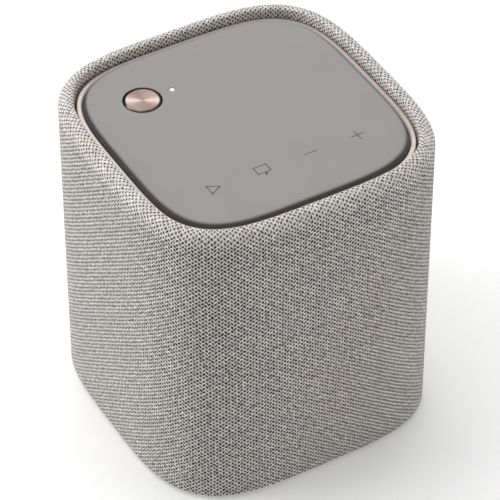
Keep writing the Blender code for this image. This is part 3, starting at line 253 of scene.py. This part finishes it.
def cutAway(piece, cutters):
    # takes the cutters' shapes out of a piece's mesh
    for cutter in cutters:
        tool = bpy.data.objects.new("cutter", meshOf(cutter, "cutter"))
        scene.collection.objects.link(tool)
        modifier = piece.modifiers.new("cut", "BOOLEAN")
        modifier.operation = "DIFFERENCE"
        modifier.object = tool
        modifier.solver = "EXACT"
    bpy.context.view_layer.update()
    graph = bpy.context.evaluated_depsgraph_get()
    cut = bpy.data.meshes.new_from_object(piece.evaluated_get(graph))
    used = [modifier.object for modifier in piece.modifiers]
    piece.modifiers.clear()
    piece.data = cut
    for tool in used:
        bpy.data.objects.remove(tool)
    cut.set_sharp_from_angle(angle=math.radians(usualSharpAngle))


def roundedSlab(width, height, depth, corner, centre):
    # a slab standing across the depth direction, its four long edges rounded
    bm = bmesh.new()
    bmesh.ops.create_cube(bm, size=1)
    bmesh.ops.scale(bm, vec=(width, depth, height), verts=bm.verts)
    longEdges = [edge for edge in bm.edges if abs(edge.verts[0].co.y - edge.verts[1].co.y) > depth / 2]
    bmesh.ops.bevel(bm, geom=longEdges, offset=corner, segments=6, profile=0.5, affect="EDGES",
                    material=-1)
    bmesh.ops.translate(bm, verts=bm.verts, vec=centre)
    return bm


# knitted sleeve; its own map counts columns of hollows round it and rows of them along it

knit = {
    "threadColour": (0.86, 0.815, 0.775),
    "hollowBackingAndShadeColour": (0.02, 0.017, 0.015),
    "columnPitch": 0.8845,  # mm between neighbouring columns of hollows
    "rowPitch": 1.394,  # mm between hollows in one column
    "hollowHalfWidth": 0.35,  # mm
    "hollowHalfLength": 0.50,
    "hollowEdge": (0.55, 1.5),  # where a hollow begins to end, and where the thread is full
    "tilt": 0.40,  # neighbouring columns lean opposite ways
    "wanderScale": 420,
    "wander": (0.5, 0.35, 0),
    "unevenScale": 0.9,
    "uneven": 0.28,
    "crestClosing": 0.3,  # hollows, and the painted shade in them, shrink over the crest
    "crestDepth": 6.0,  # mm
    "mottleScale": 1500,
    "mottleTones": (0.62, 1.2),
    "patchScale": 170,
    "patchTones": (0.93, 1.06),
    "fibreScale": 5200,
    "fibreHeight": 0.22,
    "reliefHeight": 0.00022,
    "reliefStrength": 0.9,
    "roughness": 0.88,
    "gloss": 0.25,
    "sheen": 0.35,
    "sheenRoughness": 0.4,
}


def knitFinish():
    finish, tree, shader = newFinish("knit", knit["threadColour"], knit["roughness"],
                                     Sheen_Weight=knit["sheen"], Sheen_Roughness=knit["sheenRoughness"],
                                     Specular_IOR_Level=knit["gloss"])
    weave = addNode(tree, "ShaderNodeUVMap", uv_map="weave").outputs[0]
    place = objectPlace(tree)
    wander = addNode(tree, "ShaderNodeTexNoise", {
        "Vector": place, "Scale": knit["wanderScale"], "Detail": 2.0}).outputs[1]
    wander = vectorMaths(tree, "SUBTRACT", wander, (0.5, 0.5, 0.5))
    wander = vectorMaths(tree, "MULTIPLY", wander, knit["wander"])
    weave = vectorMaths(tree, "ADD", weave, wander)
    halved = vectorMaths(tree, "MULTIPLY", weave, (0.5, 1, 0))
    wide = knit["hollowHalfWidth"]
    tall = knit["hollowHalfLength"]
    distances = []
    for shift, tilt in (((0.5, 0.5, 0), knit["tilt"]), ((0.0, 0.0, 0), -knit["tilt"])):
        cell = vectorMaths(tree, "FRACTION", vectorMaths(tree, "ADD", halved, shift))
        cell = vectorMaths(tree, "SUBTRACT", cell, (0.5, 0.5, 0))
        cell = vectorMaths(tree, "MULTIPLY", cell, (2 * knit["columnPitch"], knit["rowPitch"], 0))
        across = vectorMaths(tree, "DOT_PRODUCT", cell, (1 / wide, tilt / wide, 0))
        down = vectorMaths(tree, "DOT_PRODUCT", cell, (0, 1 / tall, 0))
        both = addNode(tree, "ShaderNodeCombineXYZ", {0: across, 1: down}).outputs[0]
        distances.append(vectorMaths(tree, "LENGTH", both))
    nearest = maths(tree, "MINIMUM", *distances)
    uneven = spread(tree, noise(tree, weave, knit["unevenScale"]), *noiseRange,
                    -knit["uneven"], knit["uneven"])
    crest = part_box("fabric_sleeve")[1].z
    closing = spread(tree, heightOf(tree, place), crest - knit["crestDepth"] * mm, crest,
                     0.0, knit["crestClosing"], smooth=True)
    nearest = maths(tree, "ADD", maths(tree, "ADD", nearest, uneven), closing)
    thread = spread(tree, nearest, *knit["hollowEdge"], smooth=True)
    specks = noise(tree, place, knit["mottleScale"], 3.0, 0.6)
    mottle = spread(tree, specks, *noiseRange, *knit["mottleTones"])
    patch = spread(tree, noise(tree, place, knit["patchScale"]), *noiseRange, *knit["patchTones"])
    # the hollows are painted dark: partly the dark backing seen through the open knit, partly painted shade
    # that the bump relief can't cast
    colour = mixColours(tree, thread, knit["hollowBackingAndShadeColour"], knit["threadColour"])
    paint(tree, shader, tint(tree, colour, maths(tree, "MULTIPLY", mottle, patch)))
    fibres = maths(tree, "MULTIPLY", noise(tree, place, knit["fibreScale"]), knit["fibreHeight"])
    bump(tree, shader, maths(tree, "ADD", thread, fibres), knit["reliefStrength"], knit["reliefHeight"])
    return finish


sleeve = {
    "exponent": 3.72,  # squareness in plan
    "stitchesRound": 176,  # mesh columns
    "wallRows": 24,
    "thickness": 1.0,  # insets and heights are in mm
    "hemInset": 5.0,
    "hemFlat": 3.0,
    "hemRoll": 1.05,
    "crestRoll": 3.55,
    "lipRoll": 0.84,
    "lipInset": 4.70,
    "lipBulge": (0.12, 98.2),
    "lipHeights": (97.0, 95.6, 94.3),
    "liningHeight": 96.9,
    "liningFold": (1.25, 99.2),
    "liningEase": 0.05,
    "inletRoom": 0.5,
    "inletDepth": 8.0,
    "inletCorner": 2.6,
}


def sleeveProfile(bottom, crest):
    # outer face from the hem up, over the crest and down to the lip, then the lining back to the hem
    wall = sleeve["thickness"]
    roll = sleeve["crestRoll"]
    hem = sleeve["hemRoll"]
    lip = sleeve["lipInset"]
    bulge, bulgeHeight = sleeve["lipBulge"]
    fold, foldHeight = sleeve["liningFold"]
    rows = sleeve["wallRows"]
    wallBottom = bottom + hem
    wallTop = crest - roll
    profile = [(sleeve["hemInset"], bottom), (sleeve["hemFlat"], bottom)]
    profile += arc((hem, wallBottom), hem, 270, 180, 6)
    profile += [(0.0, wallBottom + (wallTop - wallBottom) * row / rows) for row in range(1, rows)]
    profile += arc((roll, wallTop), roll, 180, 90, 14)
    profile += arc((roll, crest - sleeve["lipRoll"]), sleeve["lipRoll"], 90, 0, 6)[1:]
    profile += [(lip - bulge, bulgeHeight)]
    profile += [(lip, height) for height in sleeve["lipHeights"]]
    outerLength = sum(math.dist(*pair) for pair in zip(profile, profile[1:]))
    profile += [(lip - wall, sleeve["lipHeights"][-1]), (lip - wall, sleeve["liningHeight"])]
    profile += [(lip - fold * wall, foldHeight)]
    profile += arc((roll, wallTop), roll - wall, 90, 180, 10)
    profile += [(wall, wallBottom), (wall + sleeve["liningEase"], bottom + wall)]
    profile += [(sleeve["hemInset"], bottom + wall)]
    return profile, outerLength


def mapWeave(bm, outlineCount, columns):
    # whole columns meet at the seam
    weave = bm.loops.layers.uv.new("weave")
    turn = bm.verts.layers.int["turn"]
    along = bm.verts.layers.float["along"]
    for face in bm.faces:
        atSeam = any(vert[turn] > outlineCount / 2 for vert in face.verts)
        for loop in face.loops:
            number = loop.vert[turn]
            if atSeam and number == 0:
                number = outlineCount
            loop[weave].uv = (columns * number / outlineCount, loop.vert[along] / knit["rowPitch"])


def inletCutter():
    low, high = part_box("usb_bezel")
    middle = (low + high) / 2
    size = high - low
    room = sleeve["inletRoom"] * mm
    return roundedSlab(size.x + room, size.z + room, sleeve["inletDepth"] * mm, sleeve["inletCorner"] * mm,
                       (middle.x, high.y, middle.z))


def buildSleeve():
    low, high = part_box("fabric_sleeve")
    outline, girth = softSquare(high.x, sleeve["exponent"], sleeve["stitchesRound"])
    profile, outerLength = sleeveProfile(low.z / mm, high.z / mm)
    bm = sweep(outline, profile)
    columns = 2 * round(girth / mm / knit["columnPitch"] / 2)
    mapWeave(bm, len(outline), columns)
    piece = addPiece("knit_sleeve", meshOf(bm, "knit_sleeve", 60), [knitFinish()],
                     "speaker_body", ["fabric_sleeve"])
    cutAway(piece, [inletCutter()])
    print("sleeve: girth %.1f mm, profile %.1f mm, %d columns" % (girth / mm, outerLength, columns))


buildSleeve()


# top panel with its marks and the light

panel = {
    "exponent": 4.08,
    "outlinePoints": 192,
    "fillet": 1.75,  # mm
    "belowFillet": 0.3,
    "insideFillet": 1.0,
    "thickness": 1.6,
    "skirtWall": 1.9,
    "skirtEase": 0.15,
    "holes": {"power_button_cap": 5.75, "light_pipe": 0.96},  # radius round each node's middle
    "holeDepth": 20.0,
    "colour": (0.325, 0.317, 0.309),
    "cloudScale": 60,
    "cloudTones": (0.975, 1.025),
    "paintedShadeColour": (0.085, 0.079, 0.075),
    "paintedShadeDepth": 0.45,  # mm down the edge over which painted shade darkens the skin
    "roughness": 0.62,
    "gloss": 0.35,
    "sheen": 0.08,
    "grainScale": 6000,
    "grainStrength": 0.12,
    "grainHeight": 0.00004,
}


def panelFinish():
    finish, tree, shader = newFinish("soft touch skin", panel["colour"], panel["roughness"],
                                     Specular_IOR_Level=panel["gloss"], Sheen_Weight=panel["sheen"])
    place = objectPlace(tree)
    cloud = spread(tree, noise(tree, place, panel["cloudScale"], 3.0), *noiseRange)
    skin = tones(tree, cloud, panel["colour"], *panel["cloudTones"])
    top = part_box("top_skin")[1].z
    # painted shade: the skin darkens down its edge fillet, where the fabric lip shades it
    rise = spread(tree, heightOf(tree, place), top - panel["paintedShadeDepth"] * mm, top, smooth=True)
    paint(tree, shader, mixColours(tree, rise, panel["paintedShadeColour"], skin))
    bump(tree, shader, noise(tree, place, panel["grainScale"]), panel["grainStrength"], panel["grainHeight"])
    return finish


def buildPanel():
    low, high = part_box("top_skin")
    top = high.z / mm
    bottom = low.z / mm
    outline, _ = softSquare(high.x, panel["exponent"], panel["outlinePoints"])
    fillet = panel["fillet"]
    skirt = panel["skirtWall"]
    ease = panel["skirtEase"]
    profile = [(skirt, top - panel["thickness"]), (skirt, bottom), (ease, bottom), (0.0, bottom + ease)]
    profile += [(0.0, top - fillet - panel["belowFillet"])]
    profile += arc((fillet, top - fillet), fillet, 180, 90, 10)
    profile += [(fillet + panel["insideFillet"], top)]
    piece = addPiece("top_panel", meshOf(sweep(outline, profile, closed=False), "top_panel"),
                     [panelFinish()], "speaker_body", ["top_skin"])
    holes = []
    for node, radius in panel["holes"].items():
        near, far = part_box(node)
        middle = (near + far) / 2
        hole = bmesh.new()
        bmesh.ops.create_cone(hole, cap_ends=True, segments=64, radius1=radius * mm, radius2=radius * mm,
                              depth=panel["holeDepth"] * mm)
        bmesh.ops.translate(hole, verts=hole.verts, vec=(middle.x, middle.y, high.z))
        holes.append(hole)
    cutAway(piece, holes)


marks = {
    "colour": (0.10, 0.098, 0.096),
    "tones": (0.9, 1.1),
    "grainScale": 2500,
    "roughness": 0.5,
    "line": 0.34,  # mm
    "height": 0.02,
    "corner": 0.12,
    "barLength": 4.08,
    "play": [(-1.85, -2.1), (1.95, 0), (-1.85, 2.1)],
    "bubble": [(-2.15, -1.1), (0.3, -1.1), (-0.2, -2.2), (1.2, -1.1), (2.15, -1.1),
               (2.15, 2.14), (-2.15, 2.14)],
}


def printedMark(name, outline, plunger, finish, hollow=True):
    # a thin inked shape lying on the panel over its plunger
    low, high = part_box(plunger)
    centre = ((low + high) / 2).xy
    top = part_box("top_skin")[1].z
    bm = bmesh.new()
    bm.faces.new([bm.verts.new((centre[0] + x * mm, centre[1] + y * mm, top)) for x, y in outline])
    bmesh.ops.bevel(bm, geom=bm.verts[:], offset=marks["corner"] * mm, segments=3, profile=0.5,
                    affect="VERTICES", material=-1)
    if hollow:
        bmesh.ops.inset_region(bm, faces=bm.faces[:], thickness=marks["line"] * mm,
                               use_even_offset=True, use_boundary=True)
        middle = min(bm.faces, key=lambda face: (face.calc_center_median().xy - centre).length)
        bmesh.ops.delete(bm, geom=[middle], context="FACES")
    made = bmesh.ops.extrude_face_region(bm, geom=bm.faces[:])["geom"]
    lifted = [part for part in made if isinstance(part, bmesh.types.BMVert)]
    bmesh.ops.translate(bm, verts=lifted, vec=(0, 0, marks["height"] * mm))
    bmesh.ops.recalc_face_normals(bm, faces=bm.faces)
    addPiece(name, meshOf(bm, name), [finish], "speaker_body")


def buildMarks():
    finish, tree, shader = newFinish("printed ink", marks["colour"], marks["roughness"])
    grain = noise(tree, objectPlace(tree), marks["grainScale"])
    paint(tree, shader, tones(tree, grain, marks["colour"], *marks["tones"]))
    bar = marks["barLength"] / 2
    half = marks["line"] / 2
    minus = [(-bar, -half), (bar, -half), (bar, half), (-bar, half)]
    plus = [(-bar, -half), (-half, -half), (-half, -bar), (half, -bar), (half, -half), (bar, -half),
            (bar, half), (half, half), (half, bar), (-half, bar), (-half, half), (-bar, half)]
    printedMark("play_mark", marks["play"], "play_plunger", finish)
    printedMark("voice_mark", marks["bubble"], "voice_plunger", finish)
    printedMark("volume_down_mark", minus, "volume_down_plunger", finish, hollow=False)
    printedMark("volume_up_mark", plus, "volume_up_plunger", finish, hollow=False)


light = {
    "colour": (0.90, 0.88, 1.0),
    "strength": 1.0,
    "radius": 0.90,  # mm
    "rim": [(0.0, 0.15), (0.05, 0.05), (0.18, 0.0)],  # inset and drop round the edge
    "dome": 0.02,
    "brightRadius": 0.2,
    "dimmed": 0.08,  # what is left of the glow at the rim
    "frostTones": ((0.36, 0.355, 0.36), (0.42, 0.415, 0.42)),
    "frostScale": 3000,
    "frostStrength": 0.1,
    "frostHeight": 0.00003,
    "roughness": 0.35,
}


def buildLight():
    low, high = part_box("light_pipe")
    centre = (low + high) / 2
    radius = light["radius"]
    top = high.z / mm
    bottom = low.z / mm
    finish, tree, shader = newFinish("frosted light window", light["colour"], light["roughness"],
                                     Emission_Strength=light["strength"])
    place = objectPlace(tree)
    arm = vectorMaths(tree, "MULTIPLY", vectorMaths(tree, "SUBTRACT", place, centre), (1, 1, 0))
    glow = spread(tree, vectorMaths(tree, "LENGTH", arm), light["brightRadius"] * mm, radius * mm,
                  1.0, light["dimmed"], smooth=True)
    tree.links.new(tint(tree, light["colour"], glow), shader.inputs["Emission Color"])
    frost = noise(tree, place, light["frostScale"])
    paint(tree, shader, mixColours(tree, frost, *light["frostTones"]))
    bump(tree, shader, frost, light["frostStrength"], light["frostHeight"])
    profile = [(0, bottom), (radius, bottom)]
    profile += [(radius - inset, top - drop) for inset, drop in light["rim"]]
    profile += [(0, top + light["dome"])]
    addPiece("light_window", meshOf(turned(profile, centre, 40), "light_window"), [finish],
             "speaker_body", ["light_pipe"])


buildPanel()
buildMarks()
buildLight()
print("top panel, marks and light built")


# power button, with fine turned grooves round its middle

button = {
    "sunk": 0.25,  # mm below the cap's place
    "rim": [(0.0, 0.45), (0.12, 0.2), (0.45, 0.0), (0.62, 0.02)],  # inset and drop round the edge
    "dishDepth": 0.12,
    "dishRise": 0.1,
    "colour": (0.26, 0.20, 0.176),
    "tones": (0.92, 1.05),
    "roughness": 0.3,
    "anisotropy": 0.85,
    "mapScale": 180,  # map units to a metre outwards
    "grooves": (2, 60, 0),
    "grooveStrength": 0.12,
    "grooveHeight": 0.00003,
}


def spunFinish():
    finish, tree, shader = newFinish("spun pink metal", button["colour"], button["roughness"], Metallic=1.0,
                                     Anisotropic=button["anisotropy"], Anisotropic_Rotation=0.25)
    tangent = addNode(tree, "ShaderNodeTangent", direction_type="UV_MAP", uv_map="rounds")
    tree.links.new(tangent.outputs[0], shader.inputs["Tangent"])
    rounds = addNode(tree, "ShaderNodeUVMap", uv_map="rounds").outputs[0]
    grooves = noise(tree, vectorMaths(tree, "MULTIPLY", rounds, button["grooves"]), 1.0, 3.0)
    bump(tree, shader, grooves, button["grooveStrength"], button["grooveHeight"])
    paint(tree, shader, tones(tree, grooves, button["colour"], *button["tones"]))
    return finish


def mapRounds(bm, centre):
    # the map's u runs round the axis and v runs outwards
    rounds = bm.loops.layers.uv.new("rounds")
    for face in bm.faces:
        middle = face.calc_center_median()
        middleTurn = math.atan2(middle.y - centre.y, middle.x - centre.x)
        for loop in face.loops:
            arm = loop.vert.co.xy - centre.xy
            turn = math.atan2(arm.y, arm.x) if arm.length > 1e-6 else middleTurn
            if turn - middleTurn > math.pi:
                turn -= math.tau
            if middleTurn - turn > math.pi:
                turn += math.tau
            loop[rounds].uv = (turn / math.tau, arm.length * button["mapScale"])


def buildButton():
    low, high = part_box("power_button_cap")
    centre = (low + high) / 2
    radius = (high.x - low.x) / 2 / mm
    top = high.z / mm - button["sunk"]
    bottom = low.z / mm
    dish = radius - button["rim"][-1][0]
    profile = [(0, bottom), (radius, bottom)]
    profile += [(radius - inset, top - drop) for inset, drop in button["rim"]]
    profile += [(share * dish, top - button["dishDepth"] + button["dishRise"] * share ** 2)
                for share in (0.8, 0.6, 0.4, 0.2, 0)]
    bm = turned(profile, centre, 96)
    mapRounds(bm, centre)
    addPiece("power_button", meshOf(bm, "power_button"), [spunFinish()],
             "power_button", ["power_button_cap"])


# sunk trim ring, with a polished chamfer next to the panel; the chamfer's lighter colour is a painted
# highlight

ring = {
    "gap": 0.25,  # mm from the panel
    "outwards": 0.3,  # nearly reaches the fabric's lip
    "chamfer": 0.4,
    "rounding": 0.25,
    "ease": 0.15,
    "colour": (0.66, 0.565, 0.52),
    "roughness": 0.42,
    # the chamfer's lighter colour paints a highlight onto it; its lower roughness is the real polish
    "chamferHighlightColour": (0.93, 0.88, 0.85),
    "brightRoughness": 0.16,
    "metallic": 0.4,
    "brushing": (300, 300, 4000),
    "brushTones": (0.93, 1.05),
    "brushStrength": 0.08,
    "brushHeight": 0.00002,
}


def ringFinish(name, colour, roughness):
    finish, tree, shader = newFinish(name, colour, roughness, Metallic=ring["metallic"])
    place = objectPlace(tree)
    lines = noise(tree, vectorMaths(tree, "MULTIPLY", place, ring["brushing"]), 1.0, 3.0)
    paint(tree, shader, tones(tree, lines, colour, *ring["brushTones"]))
    bump(tree, shader, lines, ring["brushStrength"], ring["brushHeight"])
    return finish


def buildRing():
    low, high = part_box("trim_ring")
    top = high.z / mm
    bottom = low.z / mm
    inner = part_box("top_skin")[1].x + ring["gap"] * mm
    outline, _ = softSquare(inner, panel["exponent"], panel["outlinePoints"])
    width = (high.x - inner) / mm + ring["outwards"]
    chamfer = ring["chamfer"]
    rounding = ring["rounding"]
    ease = ring["ease"]
    profile = [(-ease, bottom), (0.0, bottom + ease), (0.0, top - chamfer), (-chamfer, top)]
    profile += arc((-(width - rounding), top - rounding), -rounding, -90, 0, 5)
    profile += [(-width, bottom)]
    bm = sweep(outline, profile)
    chamferFoot = (top - chamfer - 0.05) * mm  # a little lower, so that none of its faces is missed
    for face in bm.faces:
        inward = face.normal.xy.dot(face.calc_center_median().xy) < 0
        if inward and face.normal.z < 0.95 and min(vert.co.z for vert in face.verts) > chamferFoot:
            face.material_index = 1
    addPiece("trim_ring_metal", meshOf(bm, "trim_ring_metal"),
             [ringFinish("pink metal", ring["colour"], ring["roughness"]),
              ringFinish("polished pink metal with painted highlight", ring["chamferHighlightColour"], ring["brightRoughness"])],
             "speaker_body", ["trim_ring"])


buildButton()
buildRing()
print("button and ring built")


# every CAD piece gets the finish of its slot

inside = {
    "specksHeight": 0.00005,
    "lineScale": 400.0,
    "lineTones": (0.93, 1.05),
    "lineStrength": 0.12,
    "lineHeight": 0.00002,
    "stainScale": 90.0,
    "stainRange": (0.35, 0.65),
    "stainTones": (0.9, 1.06),
    "fibreScale": 1400.0,
    "fibreRoughness": 0.65,
    "fibreShare": 0.6,
    "waveShare": 0.5,
    "waveStrength": 0.5,
}


def mottled(colour, roughness, grain=900, contrast=0.06, bumpScale=3600, bumpStrength=0.15):
    # moulded plastic, rubber and foam: an even colour with a fine grain
    def build(name):
        finish, tree, shader = newFinish(name, colour, roughness)
        place = objectPlace(tree)
        specks = noise(tree, place, grain, 3.0)
        paint(tree, shader, tones(tree, specks, colour, 1 - contrast, 1 + contrast))
        bump(tree, shader, noise(tree, place, bumpScale), bumpStrength, inside["specksHeight"])
        return finish
    return build


def brushed(colour, roughness, along):
    # metal with fine drawn lines; the larger a number, the closer the lines along that axis
    def build(name):
        finish, tree, shader = newFinish(name, colour, roughness, Metallic=1.0)
        place = objectPlace(tree)
        lines = noise(tree, vectorMaths(tree, "MULTIPLY", place, along), inside["lineScale"], 3.0)
        stain = spread(tree, noise(tree, place, inside["stainScale"], 3.0), *inside["stainRange"])
        worn = tones(tree, stain, colour, *inside["stainTones"])
        paint(tree, shader, tint(tree, worn, spread(tree, lines, *noiseRange, *inside["lineTones"])))
        bump(tree, shader, lines, inside["lineStrength"], inside["lineHeight"])
        return finish
    return build


def ringed(colour, roughness, pitch, depth, axis, metallic=0.0, contrast=0.12):
    # cone, spider and windings: rings round the driver's axis, or turns along it
    def build(name):
        finish, tree, shader = newFinish(name, colour, roughness, Metallic=metallic)
        place = objectPlace(tree)
        low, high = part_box("driver_cone")
        arm = vectorMaths(tree, "MULTIPLY", vectorMaths(tree, "SUBTRACT", place, (low + high) / 2), axis)
        turns = maths(tree, "MULTIPLY", vectorMaths(tree, "LENGTH", arm), math.tau / (pitch * mm))
        wave = maths(tree, "SINE", turns)
        fibres = noise(tree, place, inside["fibreScale"], 4.0, inside["fibreRoughness"])
        paint(tree, shader, tones(tree, fibres, colour, 1 - contrast, 1 + contrast))
        height = maths(tree, "ADD", maths(tree, "MULTIPLY", wave, inside["waveShare"]),
                       maths(tree, "MULTIPLY", fibres, inside["fibreShare"]))
        bump(tree, shader, height, inside["waveStrength"], depth * mm)
        return finish
    return build


board = {
    "maskColour": (0.012, 0.085, 0.045),
    "trackColour": (0.02, 0.14, 0.07),
    "padColour": (0.75, 0.68, 0.5),
    "blockScale": 420.0,
    "randomness": 0.55,
    "tracksPerBlock": 30.0,
    "trackEdge": (0.1, 0.3),
    "padEdge": (0.10, 0.13),
    "roughness": 0.35,
    "trackStrength": 0.4,
    "trackHeight": 0.00004,
}


def etched(name):
    # circuit board: solder mask with raised tracks and bare pads
    finish, tree, shader = newFinish(name, board["maskColour"], board["roughness"])
    blocks = addNode(tree, "ShaderNodeTexVoronoi", {
        "Vector": objectPlace(tree), "Scale": board["blockScale"], "Randomness": board["randomness"]},
        distance="CHEBYCHEV", feature="F1").outputs["Distance"]
    wave = maths(tree, "SINE", maths(tree, "MULTIPLY", blocks, board["tracksPerBlock"]))
    tracks = spread(tree, wave, *board["trackEdge"], smooth=True)
    pads = spread(tree, blocks, *board["padEdge"], 1.0, 0.0, smooth=True)
    masked = mixColours(tree, tracks, board["maskColour"], board["trackColour"])
    paint(tree, shader, mixColours(tree, pads, masked, board["padColour"]))
    bump(tree, shader, maths(tree, "ADD", tracks, pads), board["trackStrength"], board["trackHeight"])
    return finish


slotFinishes = {  # mottled takes colour, roughness, grain, contrast, and the bump's scale and strength
    "knit_fabric": mottled((0.3, 0.29, 0.28), 0.9),
    "soft_skin": lambda name: panelFinish(),
    "pink_gold": brushed(ring["colour"], 0.3, (1, 1, 8)),
    "clear_plastic": mottled((0.85, 0.85, 0.88), 0.2),
    "lamp_white": mottled((0.9, 0.9, 0.85), 0.4),
    "carrier_plastic": mottled((0.05, 0.05, 0.052), 0.5),
    "cabinet_plastic": mottled((0.09, 0.09, 0.088), 0.55),
    "base_plastic": mottled((0.06, 0.06, 0.06), 0.5, 700, 0.08, 2600, 0.3),
    "foot_rubber": mottled((0.03, 0.03, 0.031), 0.85, 1500, 0.2, 2200, 0.5),
    "bezel_plastic": mottled((0.05, 0.05, 0.052), 0.4),
    "enclosure_plastic": mottled((0.028, 0.028, 0.028), 0.5, 500, 0.1, 2400, 0.3),
    "seal_rubber": mottled((0.02, 0.02, 0.02), 0.62, 1200, 0.15, 3000, 0.3),
    "foam": mottled((0.07, 0.07, 0.07), 0.95, 2500, 0.3, 3200, 0.9),
    "screw_steel": brushed((0.38, 0.38, 0.39), 0.34, (1, 1, 5)),
    "basket_steel": mottled((0.035, 0.035, 0.036), 0.38, 1200, 0.1, 2600, 0.35),
    "motor_steel": brushed((0.55, 0.54, 0.50), 0.34, (1, 6, 1)),
    "magnet_finish": brushed((0.6, 0.6, 0.6), 0.25, (1, 6, 1)),
    "cone_paper": ringed((0.05, 0.05, 0.05), 0.85, pitch=2.4, depth=0.03, axis=(1, 0, 1), contrast=0.35),
    "copper": ringed((0.75, 0.36, 0.2), 0.3, pitch=0.3, depth=0.08, axis=(0, 1, 0), metallic=1.0),
    "spider_cloth": ringed((0.5, 0.36, 0.16), 0.9, pitch=0.5, depth=0.05, axis=(1, 0, 1), contrast=0.25),
    "diaphragm_metal": brushed((0.5, 0.5, 0.52), 0.35, (1, 1, 9)),
    "cell_wrap": mottled((0.04, 0.13, 0.33), 0.3, 120, 0.12, 1800, 0.08),
    "holder_plastic": mottled((0.04, 0.04, 0.04), 0.5),
    "circuit_board": etched,
    "tinned_steel": brushed((0.62, 0.62, 0.62), 0.3, (6, 1, 1)),
    "switch_plastic": mottled((0.03, 0.03, 0.03), 0.5),
    "switch_steel": brushed((0.6, 0.6, 0.6), 0.3, (6, 1, 1)),
    "key_rubber": mottled((0.28, 0.28, 0.28), 0.75, 900, 0.08, 2500, 0.3),
}


softEdges = {
    "width": 0.18,  # mm
    "sharpAngle": 40,  # degrees
    "leftAlone": ["fabric_sleeve", "top_skin", "trim_ring", "power_button_cap", "light_pipe"],
}


def softenedCopy(node, finish):
    # a CAD piece's shape with its sharp edges slightly rounded
    bm = bmesh.new()
    bm.from_mesh(frame["nodes"][node].data)
    bmesh.ops.remove_doubles(bm, verts=bm.verts, dist=0.002 * mm)
    bmesh.ops.dissolve_limit(bm, angle_limit=math.radians(0.5), verts=bm.verts, edges=bm.edges)
    sharp = [edge for edge in bm.edges if len(edge.link_faces) == 2
             and edge.calc_face_angle(0) > math.radians(softEdges["sharpAngle"])]
    bmesh.ops.bevel(bm, geom=sharp, offset=softEdges["width"] * mm, segments=2, profile=0.5, affect="EDGES",
                    material=-1, clamp_overlap=True)
    addPiece("soft_" + node, meshOf(bm, node), [finish], frame["nodes"][node]["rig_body"], [node])


def dressFrame():
    made = {}
    for part in frame["record"]["subparts"]:
        slot = part["material_slot"]
        if slot not in made:
            made[slot] = slotFinishes[slot](slot.replace("_", " "))
        mesh = frame["nodes"][part["node"]].data
        mesh.materials.clear()
        mesh.materials.append(made[slot])
        if part["node"] not in softEdges["leftAlone"]:
            softenedCopy(part["node"], made[slot])


dressFrame()


# floor, lights and camera

studio = {
    "floorColour": (0.93, 0.93, 0.93),
    "floorTones": ((0.92, 0.92, 0.92), (0.94, 0.94, 0.94)),
    "floorRoughness": 0.7,
    "floorGlow": 0.2,
    "floorSize": 2.0,  # metres
    "floorDrop": 0.05,  # mm, so that the foot's face stays clear of it
    "skyColour": (1.0, 1.0, 1.0),
    "skyStrength": 0.18,
    "lights": {  # place, aim, width and height in metres, power in watts
        "top_light": ((-0.15, 0.3, 1.3), (0, 0, 0.05), 1.2, 1.0, 9.5),
        "left_light": ((-1.1, 0.6, 0.42), (0, 0, 0.05), 0.8, 0.5, 9.0),
        "right_light": ((1.0, -0.95, 0.36), (0, 0, 0.05), 0.8, 0.4, 5.6),
        "back_strip": ((0.45, 0.78, 0.80), (0, 0, 0.09), 1.6, 0.14, 4.5),
    },
    "target": (0.74, -1.38, 50.0),  # mm
    "distance": 876.27,
    "elevation": 41.70,  # degrees
    "leftTurn": 30.09,
    "lens": 217.4,
}


def aim(thing, place, target):
    thing.location = place
    thing.rotation_euler = (Vector(target) - Vector(place)).to_track_quat("-Z", "Y").to_euler()


def buildStudio():
    world = bpy.data.worlds.new("studio")
    scene.world = world
    world.use_nodes = True
    sky = world.node_tree.nodes["Background"]
    sky.inputs["Color"].default_value = (*studio["skyColour"], 1)
    sky.inputs["Strength"].default_value = studio["skyStrength"]
    bm = bmesh.new()
    bmesh.ops.create_grid(bm, x_segments=1, y_segments=1, size=studio["floorSize"])
    bmesh.ops.translate(bm, verts=bm.verts, vec=(0, 0, -studio["floorDrop"] * mm))
    floor = bpy.data.objects.new("floor", meshOf(bm, "floor"))
    scene.collection.objects.link(floor)
    finish, tree, shader = newFinish("pale floor", studio["floorColour"], studio["floorRoughness"],
                                     Emission_Strength=studio["floorGlow"])
    shader.inputs["Emission Color"].default_value = (1, 1, 1, 1)
    paint(tree, shader, mixColours(tree, noise(tree, objectPlace(tree), 3.0), *studio["floorTones"]))
    floor.data.materials.append(finish)
    for name, (place, target, width, tall, power) in studio["lights"].items():
        lamp = bpy.data.lights.new(name, "AREA")
        lamp.shape = "RECTANGLE"
        lamp.size = width
        lamp.size_y = tall
        lamp.energy = power
        lampObject = bpy.data.objects.new(name, lamp)
        scene.collection.objects.link(lampObject)
        aim(lampObject, place, target)
    camera = bpy.data.objects.new("camera", bpy.data.cameras.new("camera"))
    scene.collection.objects.link(camera)
    camera.data.lens = studio["lens"]
    camera.data.clip_start = 0.01
    target = Vector(studio["target"]) * mm
    up = math.radians(studio["elevation"])
    turn = math.radians(studio["leftTurn"])
    away = Vector((-math.cos(up) * math.sin(turn), -math.cos(up) * math.cos(turn), math.sin(up)))
    aim(camera, target + away * studio["distance"] * mm, target)
    scene.camera = camera
    scene.view_settings.view_transform = "Standard"
    print("studio ready")


buildStudio()
